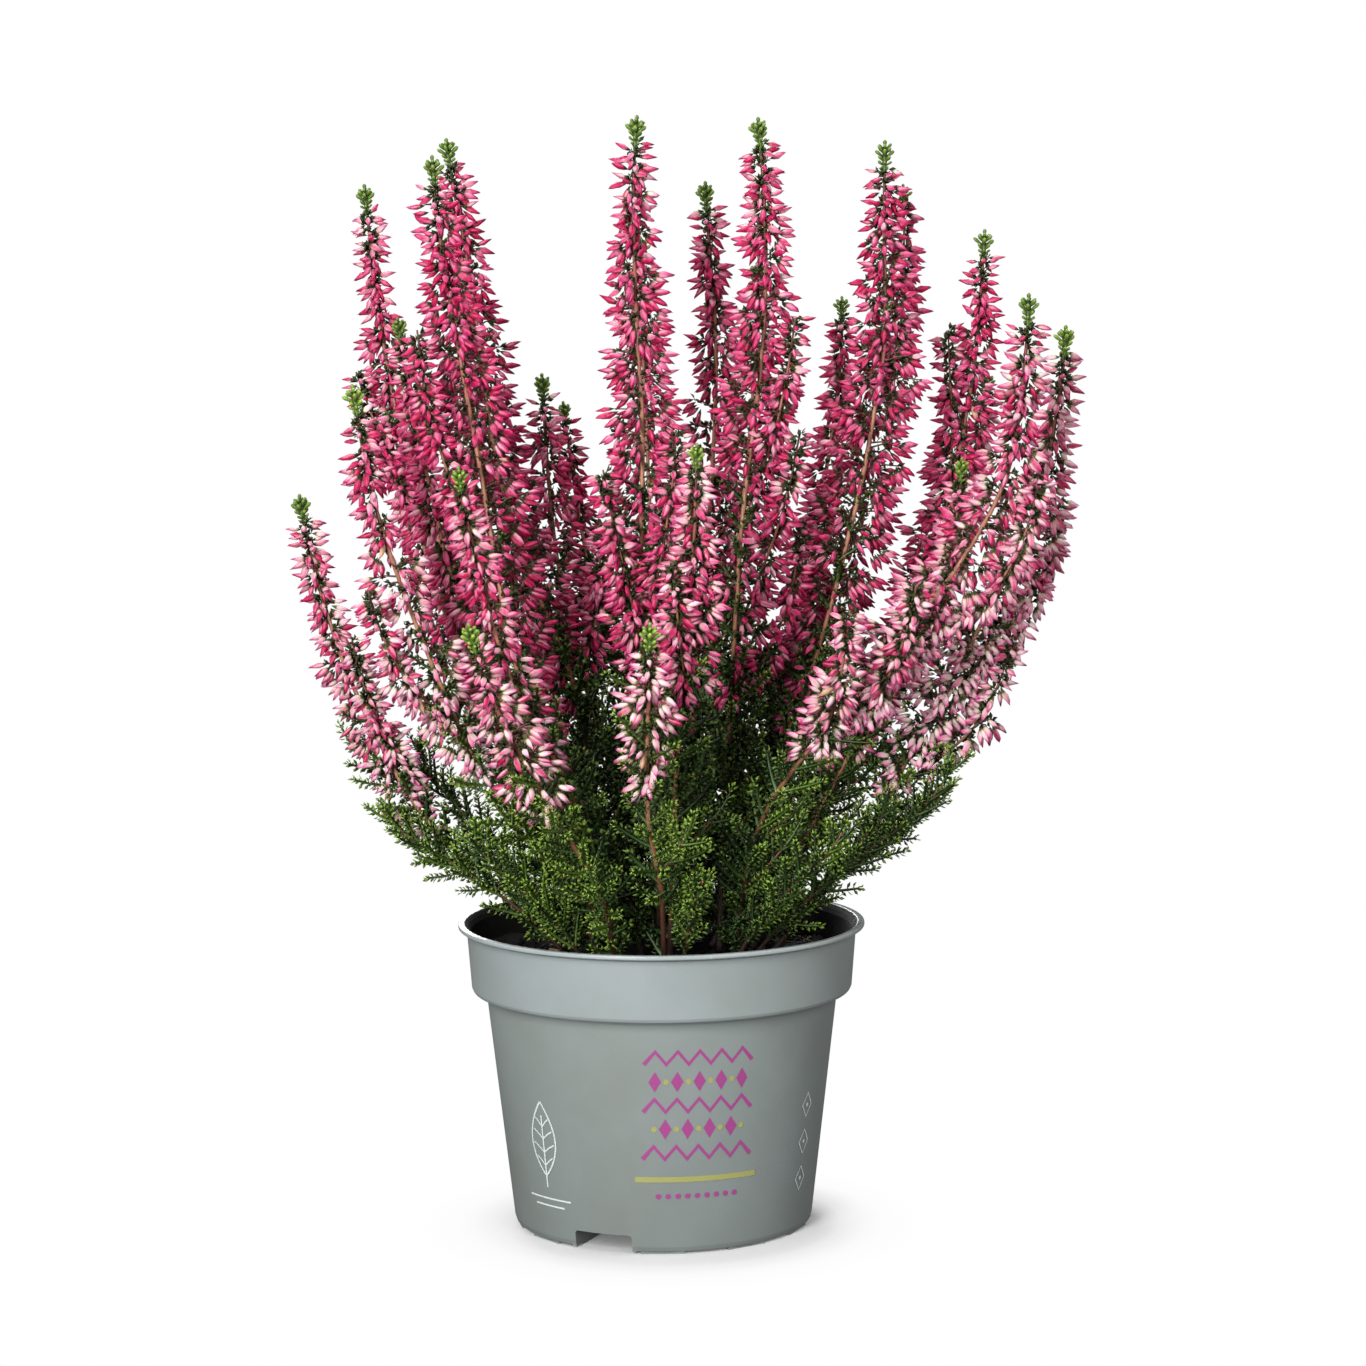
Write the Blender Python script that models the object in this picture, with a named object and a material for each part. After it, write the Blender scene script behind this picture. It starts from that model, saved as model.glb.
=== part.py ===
"""Potted heather: a bushy heather with upright flower spikes, growing in a 12 cm plastic nursery pot.

Metres, +Z up. The origin is on the pot's axis, on the surface the pot stands on, and -Y is the front.
Each flowering stem is a woody stem with a green growing tip, and a sleeve of buds that surrounds it.
"""

from math import cos, pi, radians, sin, tau

import bmesh
import bpy
import numpy as np
from mathutils import Vector

MM = 0.001

# Pot
POT_HEIGHT = 89.4
LIP_RADIUS = 60.0
MOUTH_RADIUS = 58.1
BAND_TOP_RADIUS = 57.5
BAND_FOOT_RADIUS = 56.2
BAND_FOOT_HEIGHT = 70.6
BODY_TOP_RADIUS = 51.8
BODY_TOP_HEIGHT = 68.0
BODY_FOOT_RADIUS = 44.1
WALL = 1.0
FLOOR_TOP = 1.3
RIM_CLEARANCE = 0.6  # the edge of the base stands this far off the table
FOOT_RADIUS = 38.5  # the flat middle of the base, which the pot stands on
POT_SIDES = 64

# Drain channels under the base
CHANNEL_AZIMUTHS = (-23.0, 97.0, 217.0)  # degrees from the front, towards +X
CHANNEL_WIDTH = 17.7
CHANNEL_HEIGHT = 5.5
CHANNEL_INNER = 21.0  # distance from the pot's axis to the channel's closed end
CHANNEL_ROOF = 1.1
DRAIN_HOLE_RADIUS = 3.0

# Soil
SOIL_TOP = 80.0
SOIL_GAP = 0.4
SOIL_SIDES = 40

# Plant
STEM_FOOT = SOIL_TOP + 0.35  # stems rise from just above the soil
STEM_SIDES = 5
SLEEVE_SIDES = 7
TIP_LENGTH = 10.0  # green growing tip above the buds
BUD_ROOM = 0.92  # share of a spike's widest half-width that its neighbours leave free
CLEAR = 0.45  # least gap between neighbouring pieces
FINE = 3.0  # step along a stem's axis

# Front view that the outline points were measured on: eye, tilt, roll, focal length and middle of the view
EYE = (6.86, -1020.0, 265.8)
VIEW_PITCH = 0.1036
VIEW_ROLL = 0.0068
VIEW_FOCAL = 3491.0
VIEW_MIDDLE = 683.0

# Flowering stems: name, depth of the tip behind the pot's axis, height where the buds end, foot (x, y) or None,
# widest half-width of the buds, and points along the stem on the front view (column, row), from the tip down.
SPIKES = (
    ("01", 28, 156, None, 10, ((364, 184), (372, 258), (381, 326), (389, 379), (408, 450), (432, 520), (470, 600), (515, 690))),
    ("02", -14, 143, (-6, -13), 12, ((432, 155), (438, 225), (458, 348), (478, 457), (496, 570), (510, 662), (540, 741), (580, 803), (622, 868))),
    ("03", 36, 156, None, 12, ((446, 138), (452, 184), (462, 229), (478, 330), (492, 430), (515, 540), (545, 640), (575, 720))),
    ("04", -42, 141, (-18, -12), 11, ((352, 384), (361, 439), (371, 492), (394, 566), (421, 637), (446, 694), (472, 752), (506, 805), (560, 865))),
    ("05", 12, 119, (-27, 2), 9, ((299, 494), (307, 542), (321, 594), (335, 639), (351, 682), (371, 726), (400, 780), (431, 828), (500, 885))),
    ("06", -74, 131, (-13, -25), 10, ((468, 623), (477, 663), (489, 691), (510, 736), (537, 784), (566, 839), (599, 882))),
    ("07", 46, 166, None, 11, ((541, 373), (543, 425), (546, 480), (551, 539), (558, 591), (568, 636), (585, 700), (610, 770))),
    ("08", -20, 158, (-1, -6), 12, ((637, 115), (633, 180), (634, 252), (638, 351), (643, 432), (641, 535), (643, 612), (650, 700), (658, 800))),
    ("09", 26, 168, None, 11, ((705, 181), (708, 234), (715, 314), (716, 388), (711, 490), (704, 590), (696, 690), (690, 790))),
    ("10", 2, 157, (17, -2), 13, ((758, 117), (763, 180), (766, 252), (763, 344), (755, 417), (742, 518), (736, 600), (731, 667), (730, 715), (722, 830))),
    ("11", 16, 160, None, 14, ((885, 140), (884, 207), (885, 296), (885, 348), (874, 412), (868, 453), (860, 491), (846, 547), (835, 597), (815, 670), (790, 750), (760, 830))),
    ("12", 44, 158, None, 11, ((985, 229), (981, 289), (975, 363), (966, 414), (955, 480), (940, 545), (915, 620), (880, 690), (840, 760))),
    ("13", -56, 142, (21, -17), 12, ((1029, 293), (1028, 331), (1022, 388), (1015, 446), (1004, 487), (979, 533), (944, 587), (909, 627), (866, 679), (828, 727), (778, 789), (757, 830), (745, 880))),
    ("14", -24, 134, (32, -8), 12, ((1066, 325), (1062, 382), (1054, 427), (1044, 493), (1027, 544), (995, 596), (964, 658), (926, 716), (905, 764), (868, 837), (824, 885))),
    ("15", -78, 142, (1, -28), 10, ((650, 622), (649, 676), (647, 765), (646, 810), (656, 861), (662, 895))),
    ("16", 84, 160, None, 12, ((452, 232), (458, 300), (468, 380), (485, 470), (510, 570), (545, 660))),
    ("17", 96, 172, None, 12, ((640, 236), (642, 320), (646, 420), (650, 520), (655, 620), (660, 700))),
    ("18", 90, 172, None, 12, ((757, 262), (756, 340), (750, 430), (740, 520), (728, 620), (715, 700))),
    ("19", 80, 160, None, 12, ((886, 290), (880, 370), (866, 450), (845, 540), (815, 630), (780, 710))),
)

# Short and thin flowering stems, each one piece with its buds
SHORT_SPIKES = (
    ("20", -2, 150, None, 8, ((397, 317), (408, 373), (419, 439), (434, 505), (452, 575), (478, 650), (510, 720), (550, 790))),
    ("21", -58, 148, None, 9, ((458, 466), (462, 507), (475, 551), (487, 605), (500, 650), (530, 720), (570, 790))),
    ("22", 72, 165, None, 8, ((563, 401), (569, 449), (579, 518), (590, 590), (604, 660), (622, 740))),
    ("23", 66, 160, None, 8, ((842, 296), (843, 330), (842, 359), (837, 406), (828, 470), (815, 540), (800, 620), (780, 700))),
    ("24", -54, 155, None, 10, ((697, 443), (695, 518), (693, 560), (688, 620), (682, 700), (676, 780))),
    ("25", 10, 145, None, 8, ((962, 457), (960, 500), (950, 550), (930, 610), (900, 670), (860, 730))),
    ("26", 74, 150, None, 11, ((388, 404), (402, 470), (425, 550), (455, 630), (500, 710))),
    ("27", 70, 150, None, 11, ((988, 372), (980, 440), (958, 520), (925, 600), (880, 680))),
)

# Leafy shoots low on the plant: azimuth from the front towards +X, reach from the axis, height of the tip
LEAFY_SHOOTS = (
    (12, 58, 110),
    (47, 70, 122),
    (74, 88, 140),
    (101, 84, 124),
    (132, 76, 132),
    (160, 74, 124),
    (190, 72, 142),
    (219, 78, 124),
    (248, 80, 140),
    (277, 82, 124),
    (309, 70, 122),
)

POT_COLOUR = (0.245, 0.290, 0.275)
SOIL_COLOUR = (0.012, 0.010, 0.008)
STEM_COLOUR = (0.27, 0.10, 0.05)
FLOWER_COLOUR = (0.56, 0.045, 0.16)
PALE_FLOWER_COLOUR = (0.78, 0.36, 0.46)
LEAF_COLOUR = (0.07, 0.15, 0.025)


def clear_scene():
    for ob in list(bpy.data.objects):
        bpy.data.objects.remove(ob, do_unlink=True)


def material(name, colour, roughness):
    mat = bpy.data.materials.new(name)
    mat.use_nodes = True
    shader = mat.node_tree.nodes["Principled BSDF"]
    shader.inputs["Base Color"].default_value = (*colour, 1.0)
    shader.inputs["Roughness"].default_value = roughness
    shader.inputs["Metallic"].default_value = 0.0
    return mat


def add_object(name, bm, mat, sharp=40.0):
    bmesh.ops.recalc_face_normals(bm, faces=bm.faces)
    mesh = bpy.data.meshes.new(name)
    bm.to_mesh(mesh)
    bm.free()
    mesh.shade_smooth()
    mesh.set_sharp_from_angle(angle=radians(sharp))
    mesh.materials.append(mat)
    ob = bpy.data.objects.new(name, mesh)
    bpy.context.scene.collection.objects.link(ob)
    return ob


def front(u, v, depth):
    """The point seen at column u, row v of the front view, depth mm behind the pot's axis."""
    c, s = cos(VIEW_PITCH), sin(VIEW_PITCH)
    cr, sr = cos(VIEW_ROLL), sin(VIEW_ROLL)
    du, dv = u - VIEW_MIDDLE, VIEW_MIDDLE - v
    across, up = cr * du + sr * dv, cr * dv - sr * du
    t = (depth - EYE[1]) / (s * up / VIEW_FOCAL + c)
    return np.array((EYE[0] + t * across / VIEW_FOCAL, depth, EYE[2] + t * (c * up / VIEW_FOCAL - s)))


def spline(points, step):
    """A smooth curve through the points (Catmull-Rom), read at equal steps along its length."""
    p = np.array(points, float)
    p = np.vstack((2 * p[0] - p[1], p, 2 * p[-1] - p[-2]))
    fine = []
    for a, b, c, d in zip(p[:-3], p[1:-2], p[2:-1], p[3:]):
        for k in range(12):
            t = k / 12
            fine.append(0.5 * (2 * b + (c - a) * t + (2 * a - 5 * b + 4 * c - d) * t**2 + (3 * b - a - 3 * c + d) * t**3))
    fine.append(p[-2])
    fine = np.array(fine)
    along = np.concatenate(([0], np.cumsum(np.linalg.norm(np.diff(fine, axis=0), axis=1))))
    count = max(8, int(round(along[-1] / step)) + 1)
    at = np.linspace(0, along[-1], count)
    return np.stack([np.interp(at, along, fine[:, k]) for k in range(3)], 1)


def smooth_curve(curve, rounds):
    for _ in range(rounds):
        curve[1:-1] += 0.5 * (0.5 * (curve[:-2] + curve[2:]) - curve[1:-1])
    return curve


def spike_axis(depth, foot, seen):
    """Axis of one flowering stem, from its tip to its foot. It leans away from the crown low down, then stands up."""
    tip = front(*seen[0], depth)
    last = front(*seen[-1], 0.4 * depth)
    if foot is None:
        foot = np.array((0.5 * last[0], 0.30 * depth))
        foot *= min(1.0, 27.0 / max(np.hypot(*foot), 1e-6))
    points = []
    for u, v in seen:
        z = tip[2]
        for _ in range(4):
            h = min(max((z - STEM_FOOT) / (tip[2] - STEM_FOOT), 0.0), 1.0)
            y = foot[1] + (depth - foot[1]) * (1 - (1 - h) ** 1.7)
            z = front(u, v, y)[2]
        points.append(front(u, v, y))
    points.append(np.array((foot[0], foot[1], STEM_FOOT)))
    return smooth_curve(spline(points, FINE), 6)


def shoot_axis(azimuth, reach, height):
    """Axis of a leafy shoot, which arches outwards from the crown and turns up at its tip."""
    out = np.array((sin(radians(azimuth)), -cos(radians(azimuth))))
    points = []
    for k in range(7):
        t = k / 6
        r = 29.0 + (reach - 29.0) * sin(0.5 * pi * t) ** 1.3
        z = STEM_FOOT + (height - STEM_FOOT) * (0.45 * t + 0.55 * t**1.5) + 10.0 * sin(pi * t)
        points.append(np.array((out[0] * r, out[1] * r, z)))
    return spline(points[::-1], FINE)


def stem_radius(length, along):
    """Half-thickness of a woody stem at a distance from its tip. It flares a little at its foot."""
    t = along / length
    return 0.55 + 0.95 * t**0.8 + 0.35 * max(0.0, (t - 0.93) / 0.07)


def ease_apart(axes, radii):
    """Moves neighbouring axes, mostly from front to back, until each has the room that its radii ask for."""
    for _ in range(500):
        worst = 0.0
        for i in range(len(axes)):
            for j in range(i + 1, len(axes)):
                gap = axes[i][:, None, :] - axes[j][None, :, :]
                distance = np.sqrt((gap**2).sum(2))
                short = radii[i][:, None] + radii[j][None, :] + 1.6 - distance
                if short.max() <= 0:
                    continue
                a, b = np.unravel_index(short.argmax(), short.shape)
                worst = max(worst, short[a, b])
                push = gap[a, b] * (0.35, 1.0, 0.0)
                if abs(push[1]) < 0.5:
                    push[1] = 0.5 if axes[i][0][1] > axes[j][0][1] else -0.5
                push *= 0.4 * min(short[a, b] + 0.1, 2.5) / np.linalg.norm(push)
                for axis, at, way in ((axes[i], a, 1.0), (axes[j], b, -1.0)):
                    steps = np.abs(np.arange(len(axis)) - at)
                    axis += way * push[None, :] * np.exp(-((steps / 9.0) ** 2))[:, None]
        if worst <= 0.05:
            break
    for axis in axes:
        smooth_curve(axis, 4)
    return axes


def lengths(axis):
    return np.concatenate(([0], np.cumsum(np.linalg.norm(np.diff(axis, axis=0), axis=1))))


def read_axis(axis, at):
    along = lengths(axis)
    return np.stack([np.interp(at, along, axis[:, k]) for k in range(3)], 1)


def spike_half_width(widest, t):
    """Half-width of a flower spike at a share t of its bud length, from the top down."""
    return widest * (0.42 + 0.58 * min(1.0, t / 0.55) ** 0.8) * (1.0 - 0.45 * max(0.0, (t - 0.82) / 0.18))


def leafy_half_width(t):
    """Half-width of a leafy shoot at a share t of its length, from the tip down."""
    return 0.9 + 5.6 * sin(pi * min(1.0, t / 0.86)) ** 0.8 if t < 0.86 else 0.9


def frames(points):
    """Two directions across the axis at each point, carried along it without twist."""
    tangents = np.gradient(points, axis=0)
    tangents /= np.linalg.norm(tangents, axis=1)[:, None]
    side = np.cross(tangents[0], (0.0, 1.0, 0.0))
    side /= np.linalg.norm(side)
    out = []
    for t in tangents:
        side = side - t * side.dot(t)
        side /= np.linalg.norm(side)
        out.append((side.copy(), np.cross(t, side)))
    return out


def rings(bm, points, radii, sides, level_foot=False):
    made = []
    ways = frames(points)
    if level_foot:  # the last ring lies level on the soil
        a = ways[-1][0] * (1.0, 1.0, 0.0)
        a /= np.linalg.norm(a)
        ways[-1] = (a, np.cross((0.0, 0.0, -1.0), a))
    for p, r, (a, b) in zip(points, radii, ways):
        ring = []
        for k in range(sides):
            q = p + r * (cos(tau * k / sides) * a + sin(tau * k / sides) * b)
            ring.append(bm.verts.new(Vector(q) * MM))
        made.append(ring)
    return made


def bridge(bm, one, two):
    for k in range(len(one)):
        n = (k + 1) % len(one)
        bm.faces.new((one[k], one[n], two[n], two[k]))


def tapered(points, radii, sides):
    """A closed tapered branch."""
    bm = bmesh.new()
    made = rings(bm, points, radii, sides, level_foot=True)
    for one, two in zip(made[:-1], made[1:]):
        bridge(bm, one, two)
    bm.faces.new(made[0])
    bm.faces.new(made[-1])
    return bm


def sleeve(points, outer, inner, sides):
    """A closed sleeve with a bore along the branch that it surrounds."""
    bm = bmesh.new()
    outside = rings(bm, points, outer, sides)
    inside = rings(bm, points, inner, sides)
    for one, two in zip(outside[:-1], outside[1:]):
        bridge(bm, one, two)
    for one, two in zip(inside[:-1], inside[1:]):
        bridge(bm, two, one)
    bridge(bm, inside[0], outside[0])
    bridge(bm, outside[-1], inside[-1])
    return bm


def turned(profile, sides):
    """A solid of revolution from (radius, height) points. A point on the axis becomes one vertex."""
    bm = bmesh.new()
    made = []
    for r, z in profile:
        if r < 1e-6:
            made.append([bm.verts.new((0, 0, z * MM))])
        else:
            made.append(
                [bm.verts.new((r * MM * sin(tau * k / sides), -r * MM * cos(tau * k / sides), z * MM)) for k in range(sides)]
            )
    for one, two in zip(made[:-1], made[1:]):
        for k in range(sides):
            n = (k + 1) % sides
            corners = [one[k % len(one)], one[n % len(one)], two[n % len(two)], two[k % len(two)]]
            bm.faces.new(list(dict.fromkeys(corners)))
    return bm


def box(bm, low, high):
    corners = [bm.verts.new((x * MM, y * MM, z * MM)) for x in (low[0], high[0]) for y in (low[1], high[1]) for z in (low[2], high[2])]
    for f in ((0, 1, 3, 2), (4, 6, 7, 5), (0, 4, 5, 1), (2, 3, 7, 6), (0, 2, 6, 4), (1, 5, 7, 3)):
        bm.faces.new([corners[k] for k in f])


def turn_z(bm, degrees):
    """Turns what points to -Y to an azimuth, which grows from the front towards +X."""
    a = radians(degrees)
    for v in bm.verts:
        x, y = v.co.x, v.co.y
        v.co.x, v.co.y = x * cos(a) - y * sin(a), x * sin(a) + y * cos(a)


def guide(name, bm, azimuth):
    turn_z(bm, azimuth)
    mesh = bpy.data.meshes.new(name)
    bm.to_mesh(mesh)
    bm.free()
    ob = bpy.data.objects.new(name, mesh)
    bpy.context.scene.collection.objects.link(ob)
    ob.hide_render = True
    ob.display_type = "WIRE"
    return ob


def cut(ob, other, operation):
    mod = ob.modifiers.new(other.name, "BOOLEAN")
    mod.operation = operation
    mod.solver = "EXACT"
    mod.object = other


def make_pot():
    outer = [
        (0.0, 0.0),
        (FOOT_RADIUS, 0.0),
        (FOOT_RADIUS + 0.6, RIM_CLEARANCE),
        (BODY_FOOT_RADIUS - 0.9, RIM_CLEARANCE),
        (BODY_FOOT_RADIUS, 1.6),
        (BODY_FOOT_RADIUS + 0.25 * (BODY_TOP_RADIUS - BODY_FOOT_RADIUS), 0.25 * BODY_TOP_HEIGHT + 1.2),
        (BODY_TOP_RADIUS, BODY_TOP_HEIGHT),
        (BODY_TOP_RADIUS + 0.5, BODY_TOP_HEIGHT + 0.9),
        (BAND_FOOT_RADIUS - 1.4, BODY_TOP_HEIGHT + 1.4),
        (BAND_FOOT_RADIUS - 0.4, BODY_TOP_HEIGHT + 1.8),
        (BAND_FOOT_RADIUS, BAND_FOOT_HEIGHT),
        (BAND_TOP_RADIUS, POT_HEIGHT - 2.0),
        (BAND_TOP_RADIUS + 0.9, POT_HEIGHT - 1.5),
        (LIP_RADIUS - 0.3, POT_HEIGHT - 1.2),
        (LIP_RADIUS, POT_HEIGHT - 0.7),
        (LIP_RADIUS - 0.5, POT_HEIGHT),
        (MOUTH_RADIUS + 0.3, POT_HEIGHT),
        (MOUTH_RADIUS - 0.1, POT_HEIGHT - 0.3),
        (MOUTH_RADIUS - 0.9, POT_HEIGHT - 1.2),
        (BAND_TOP_RADIUS - WALL, POT_HEIGHT - 2.6),
    ]
    inner = [
        (BAND_FOOT_RADIUS - WALL, BAND_FOOT_HEIGHT + 0.7),
        (BAND_FOOT_RADIUS - 2.6, BODY_TOP_HEIGHT + 2.7),
        (BODY_TOP_RADIUS - 0.4, BODY_TOP_HEIGHT + 1.8),
        (BODY_TOP_RADIUS - WALL, BODY_TOP_HEIGHT - 0.2),
        (BODY_FOOT_RADIUS - WALL + 0.2, 3.6),
        (BODY_FOOT_RADIUS - WALL - 1.2, FLOOR_TOP),
        (0.0, FLOOR_TOP),
    ]
    bm = turned(outer + inner, POT_SIDES)
    pot = add_object("pot", bm, material("pot_plastic", POT_COLOUR, 0.5), 32.0)
    reach = BODY_FOOT_RADIUS - WALL - 0.3
    for k, azimuth in enumerate(CHANNEL_AZIMUTHS):
        half = 0.5 * CHANNEL_WIDTH
        roof = bmesh.new()
        box(
            roof,
            (-half - CHANNEL_ROOF, -reach, 0.5),
            (half + CHANNEL_ROOF, -CHANNEL_INNER + CHANNEL_ROOF, CHANNEL_HEIGHT + CHANNEL_ROOF),
        )
        cut(pot, guide("channel_roof_%d" % k, roof, azimuth), "UNION")
        hollow = bmesh.new()
        box(hollow, (-half, -60.0, -2.0), (half, -CHANNEL_INNER, CHANNEL_HEIGHT))
        cut(pot, guide("channel_%d" % k, hollow, azimuth), "DIFFERENCE")
        hole = bmesh.new()
        bmesh.ops.create_cone(
            hole, cap_ends=True, segments=16, radius1=DRAIN_HOLE_RADIUS * MM, radius2=DRAIN_HOLE_RADIUS * MM, depth=4.0 * MM
        )
        bmesh.ops.translate(hole, verts=hole.verts, vec=Vector((0.0, -32.0, CHANNEL_HEIGHT + 0.6)) * MM)
        cut(pot, guide("drain_hole_%d" % k, hole, azimuth), "DIFFERENCE")
    return pot


def soil_height(r, angle):
    """The soil is level under the crown and lumpy towards the pot's wall."""
    lumps = 0.9 * sin(3 * angle + 0.7) * cos(0.21 * r) + 0.6 * sin(7 * angle + 0.33 * r)
    return SOIL_TOP + lumps * min(1.0, max(0.0, (r - 37.0) / 8.0))


def make_soil():
    g = SOIL_GAP
    bm = bmesh.new()
    below = [
        (0.0, FLOOR_TOP + g),
        (BODY_FOOT_RADIUS - WALL - 1.9, FLOOR_TOP + g),
        (BODY_FOOT_RADIUS - WALL - g, 4.4),
        (BODY_TOP_RADIUS - WALL - g - 0.15, BODY_TOP_HEIGHT - 0.2),
        (BODY_TOP_RADIUS - 0.9 - g, BODY_TOP_HEIGHT + 2.4),
        (BAND_FOOT_RADIUS - 3.2 - g, BODY_TOP_HEIGHT + 3.6),
        (BAND_FOOT_RADIUS - WALL - 0.1 - g, BAND_FOOT_HEIGHT + 1.6),
    ]
    rim = BAND_FOOT_RADIUS - WALL + 0.35 - g
    made = [[bm.verts.new((0, 0, below[0][1] * MM))]]
    for r, z in below[1:]:
        made.append([bm.verts.new((r * MM * sin(tau * k / SOIL_SIDES), -r * MM * cos(tau * k / SOIL_SIDES), z * MM)) for k in range(SOIL_SIDES)])
    for r in (rim, 49.0, 43.0, 37.0, 20.0):
        ring = []
        for k in range(SOIL_SIDES):
            a = tau * k / SOIL_SIDES
            ring.append(bm.verts.new((r * MM * sin(a), -r * MM * cos(a), soil_height(r, a) * MM)))
        made.append(ring)
    made.append([bm.verts.new((0, 0, SOIL_TOP * MM))])
    for one, two in zip(made[:-1], made[1:]):
        for k in range(SOIL_SIDES):
            n = (k + 1) % SOIL_SIDES
            corners = [one[k % len(one)], one[n % len(one)], two[n % len(two)], two[k % len(two)]]
            bm.faces.new(list(dict.fromkeys(corners)))
    soil = add_object("soil", bm, material("peat_soil", SOIL_COLOUR, 1.0), 50.0)
    for k, azimuth in enumerate(CHANNEL_AZIMUTHS):
        half = 0.5 * CHANNEL_WIDTH + CHANNEL_ROOF + g
        hollow = bmesh.new()
        box(hollow, (-half, -60.0, -2.0), (half, -CHANNEL_INNER + CHANNEL_ROOF + g, CHANNEL_HEIGHT + CHANNEL_ROOF + g))
        cut(soil, guide("soil_channel_%d" % k, hollow, azimuth), "DIFFERENCE")
    return soil


def make_plant():
    mains, shorts = len(SPIKES), len(SHORT_SPIKES)
    axes = [spike_axis(s[1], s[3], s[5]) for s in SPIKES + SHORT_SPIKES]
    axes += [shoot_axis(*s) for s in LEAFY_SHOOTS]
    room = []
    for i, axis in enumerate(axes):
        along = lengths(axis)
        thick = np.array([stem_radius(along[-1], t) for t in along])
        if i < mains + shorts:
            spec = (SPIKES + SHORT_SPIKES)[i]
            in_bud = (along > TIP_LENGTH) & (axis[:, 2] > spec[2])
            thick = np.where(in_bud, BUD_ROOM * spec[4], thick)
        room.append(thick)
    ease_apart(axes, room)

    # Stations along each piece, and the half-width of buds or leaves there
    pieces = []
    for i, axis in enumerate(axes):
        total = lengths(axis)[-1]
        if i < mains + shorts:
            spec = (SPIKES + SHORT_SPIKES)[i]
            z = axis[:, 2]
            end = float(np.interp(-spec[2], -z, lengths(axis)))
            segments = 6 if i < mains else 5
            buds = np.linspace(TIP_LENGTH, end, segments + 1)
            stalk = np.linspace(end, total, 4)[1:]
            wide = [spike_half_width(spec[4], (b - TIP_LENGTH) / (end - TIP_LENGTH)) for b in buds]
            pieces.append({"kind": "spike" if i < mains else "short", "name": spec[0], "buds": buds, "stalk": stalk, "wide": np.array(wide), "total": total, "pale": spec[1] < -40})
        else:
            at = np.linspace(0, 0.86 * total, 7)
            wide = np.array([leafy_half_width(t / total) for t in at])
            wide[0] = 1.2
            pieces.append({"kind": "leafy", "name": "%02d" % (i - mains - shorts + 1), "buds": at, "stalk": np.array([0.93 * total, total]), "wide": wide, "total": total, "pale": False})

    # Buds and leaves give way to their neighbours
    lines = [read_axis(a, np.arange(0, lengths(a)[-1], FINE)) for a in axes]
    marks = [np.arange(0, lengths(a)[-1], FINE) for a in axes]
    bare = [np.array([stem_radius(p["total"], m) + (1.3 if p["kind"] != "leafy" and m < TIP_LENGTH else 0.0) for m in at]) for p, at in zip(pieces, marks)]
    for _ in range(40):
        worst = 0.0
        full = []
        for p, at, b in zip(pieces, marks, bare):
            inside = (at >= p["buds"][0] - FINE) & (at <= p["buds"][-1] + FINE)
            full.append(np.where(inside, np.maximum(b, np.interp(at, p["buds"], p["wide"])), b))
        for i in range(len(axes)):
            for j in range(i + 1, len(axes)):
                distance = np.sqrt(((lines[i][:, None, :] - lines[j][None, :, :]) ** 2).sum(2))
                short = full[i][:, None] + full[j][None, :] + CLEAR - distance
                if short.max() <= 0:
                    continue
                worst = max(worst, short.max())
                for a, b in zip(*np.nonzero(short > 0)):
                    for k, at in ((i, marks[i][a]), (j, marks[j][b])):
                        p = pieces[k]
                        share = 0.5 * short[a, b]
                        near = np.abs(p["buds"] - at)
                        step = p["buds"][1] - p["buds"][0]
                        hit = near <= step + FINE
                        least = 1.9 if p["kind"] == "spike" else 1.3
                        target = np.interp(at, p["buds"], p["wide"]) - share
                        p["wide"][hit] = np.maximum(least, np.minimum(p["wide"][hit], np.maximum(target, p["wide"][hit] - share)))
        if worst < 0.02:
            break

    wood = material("woody_stem", STEM_COLOUR, 0.7)
    flower = material("heather_flower", FLOWER_COLOUR, 0.6)
    pale = material("pale_heather_flower", PALE_FLOWER_COLOUR, 0.6)
    leaf = material("heather_leaf", LEAF_COLOUR, 0.65)
    for p, axis in zip(pieces, axes):
        total = p["total"]
        if p["kind"] == "leafy":
            at = np.concatenate((p["buds"], p["stalk"]))
            width = np.concatenate((p["wide"], [stem_radius(total, s) for s in p["stalk"]]))
            add_object("leafy_shoot_" + p["name"], tapered(read_axis(axis, at), width, 6), leaf.copy())
            continue
        top = np.array((0.0, 3.2, TIP_LENGTH - 2.4))
        at = np.concatenate((top, p["buds"], p["stalk"]))
        thick = np.array([stem_radius(total, s) for s in at])
        thick[:3] = (0.6, 1.75, 1.6)
        points = read_axis(axis, at)
        if p["kind"] == "short":
            thick[3 : 3 + len(p["buds"])] = p["wide"]
            add_object("short_spike_" + p["name"], tapered(points, thick, 6), (pale if p["pale"] else flower).copy())
            continue
        add_object("stem_" + p["name"], tapered(points, thick, STEM_SIDES), wood.copy())
        inner = (thick[3 : 3 + len(p["buds"])] + 0.32) / cos(pi / SLEEVE_SIDES)
        outer = np.maximum(p["wide"], inner + 0.45)
        add_object(
            "flowers_" + p["name"], sleeve(points[3 : 3 + len(p["buds"])], outer, inner, SLEEVE_SIDES), (pale if p["pale"] else flower).copy()
        )


clear_scene()
make_pot()
make_soil()
make_plant()
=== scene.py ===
"""Looks of the potted heather: bark, buds, scale leaves, peat, and the pot's plastic and its print.

Lengths in this file are millimetres until a mesh is made, unless a name says otherwise.
"""

import math

import bmesh
import bpy
import numpy as np
from mathutils import Matrix, Vector


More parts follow.
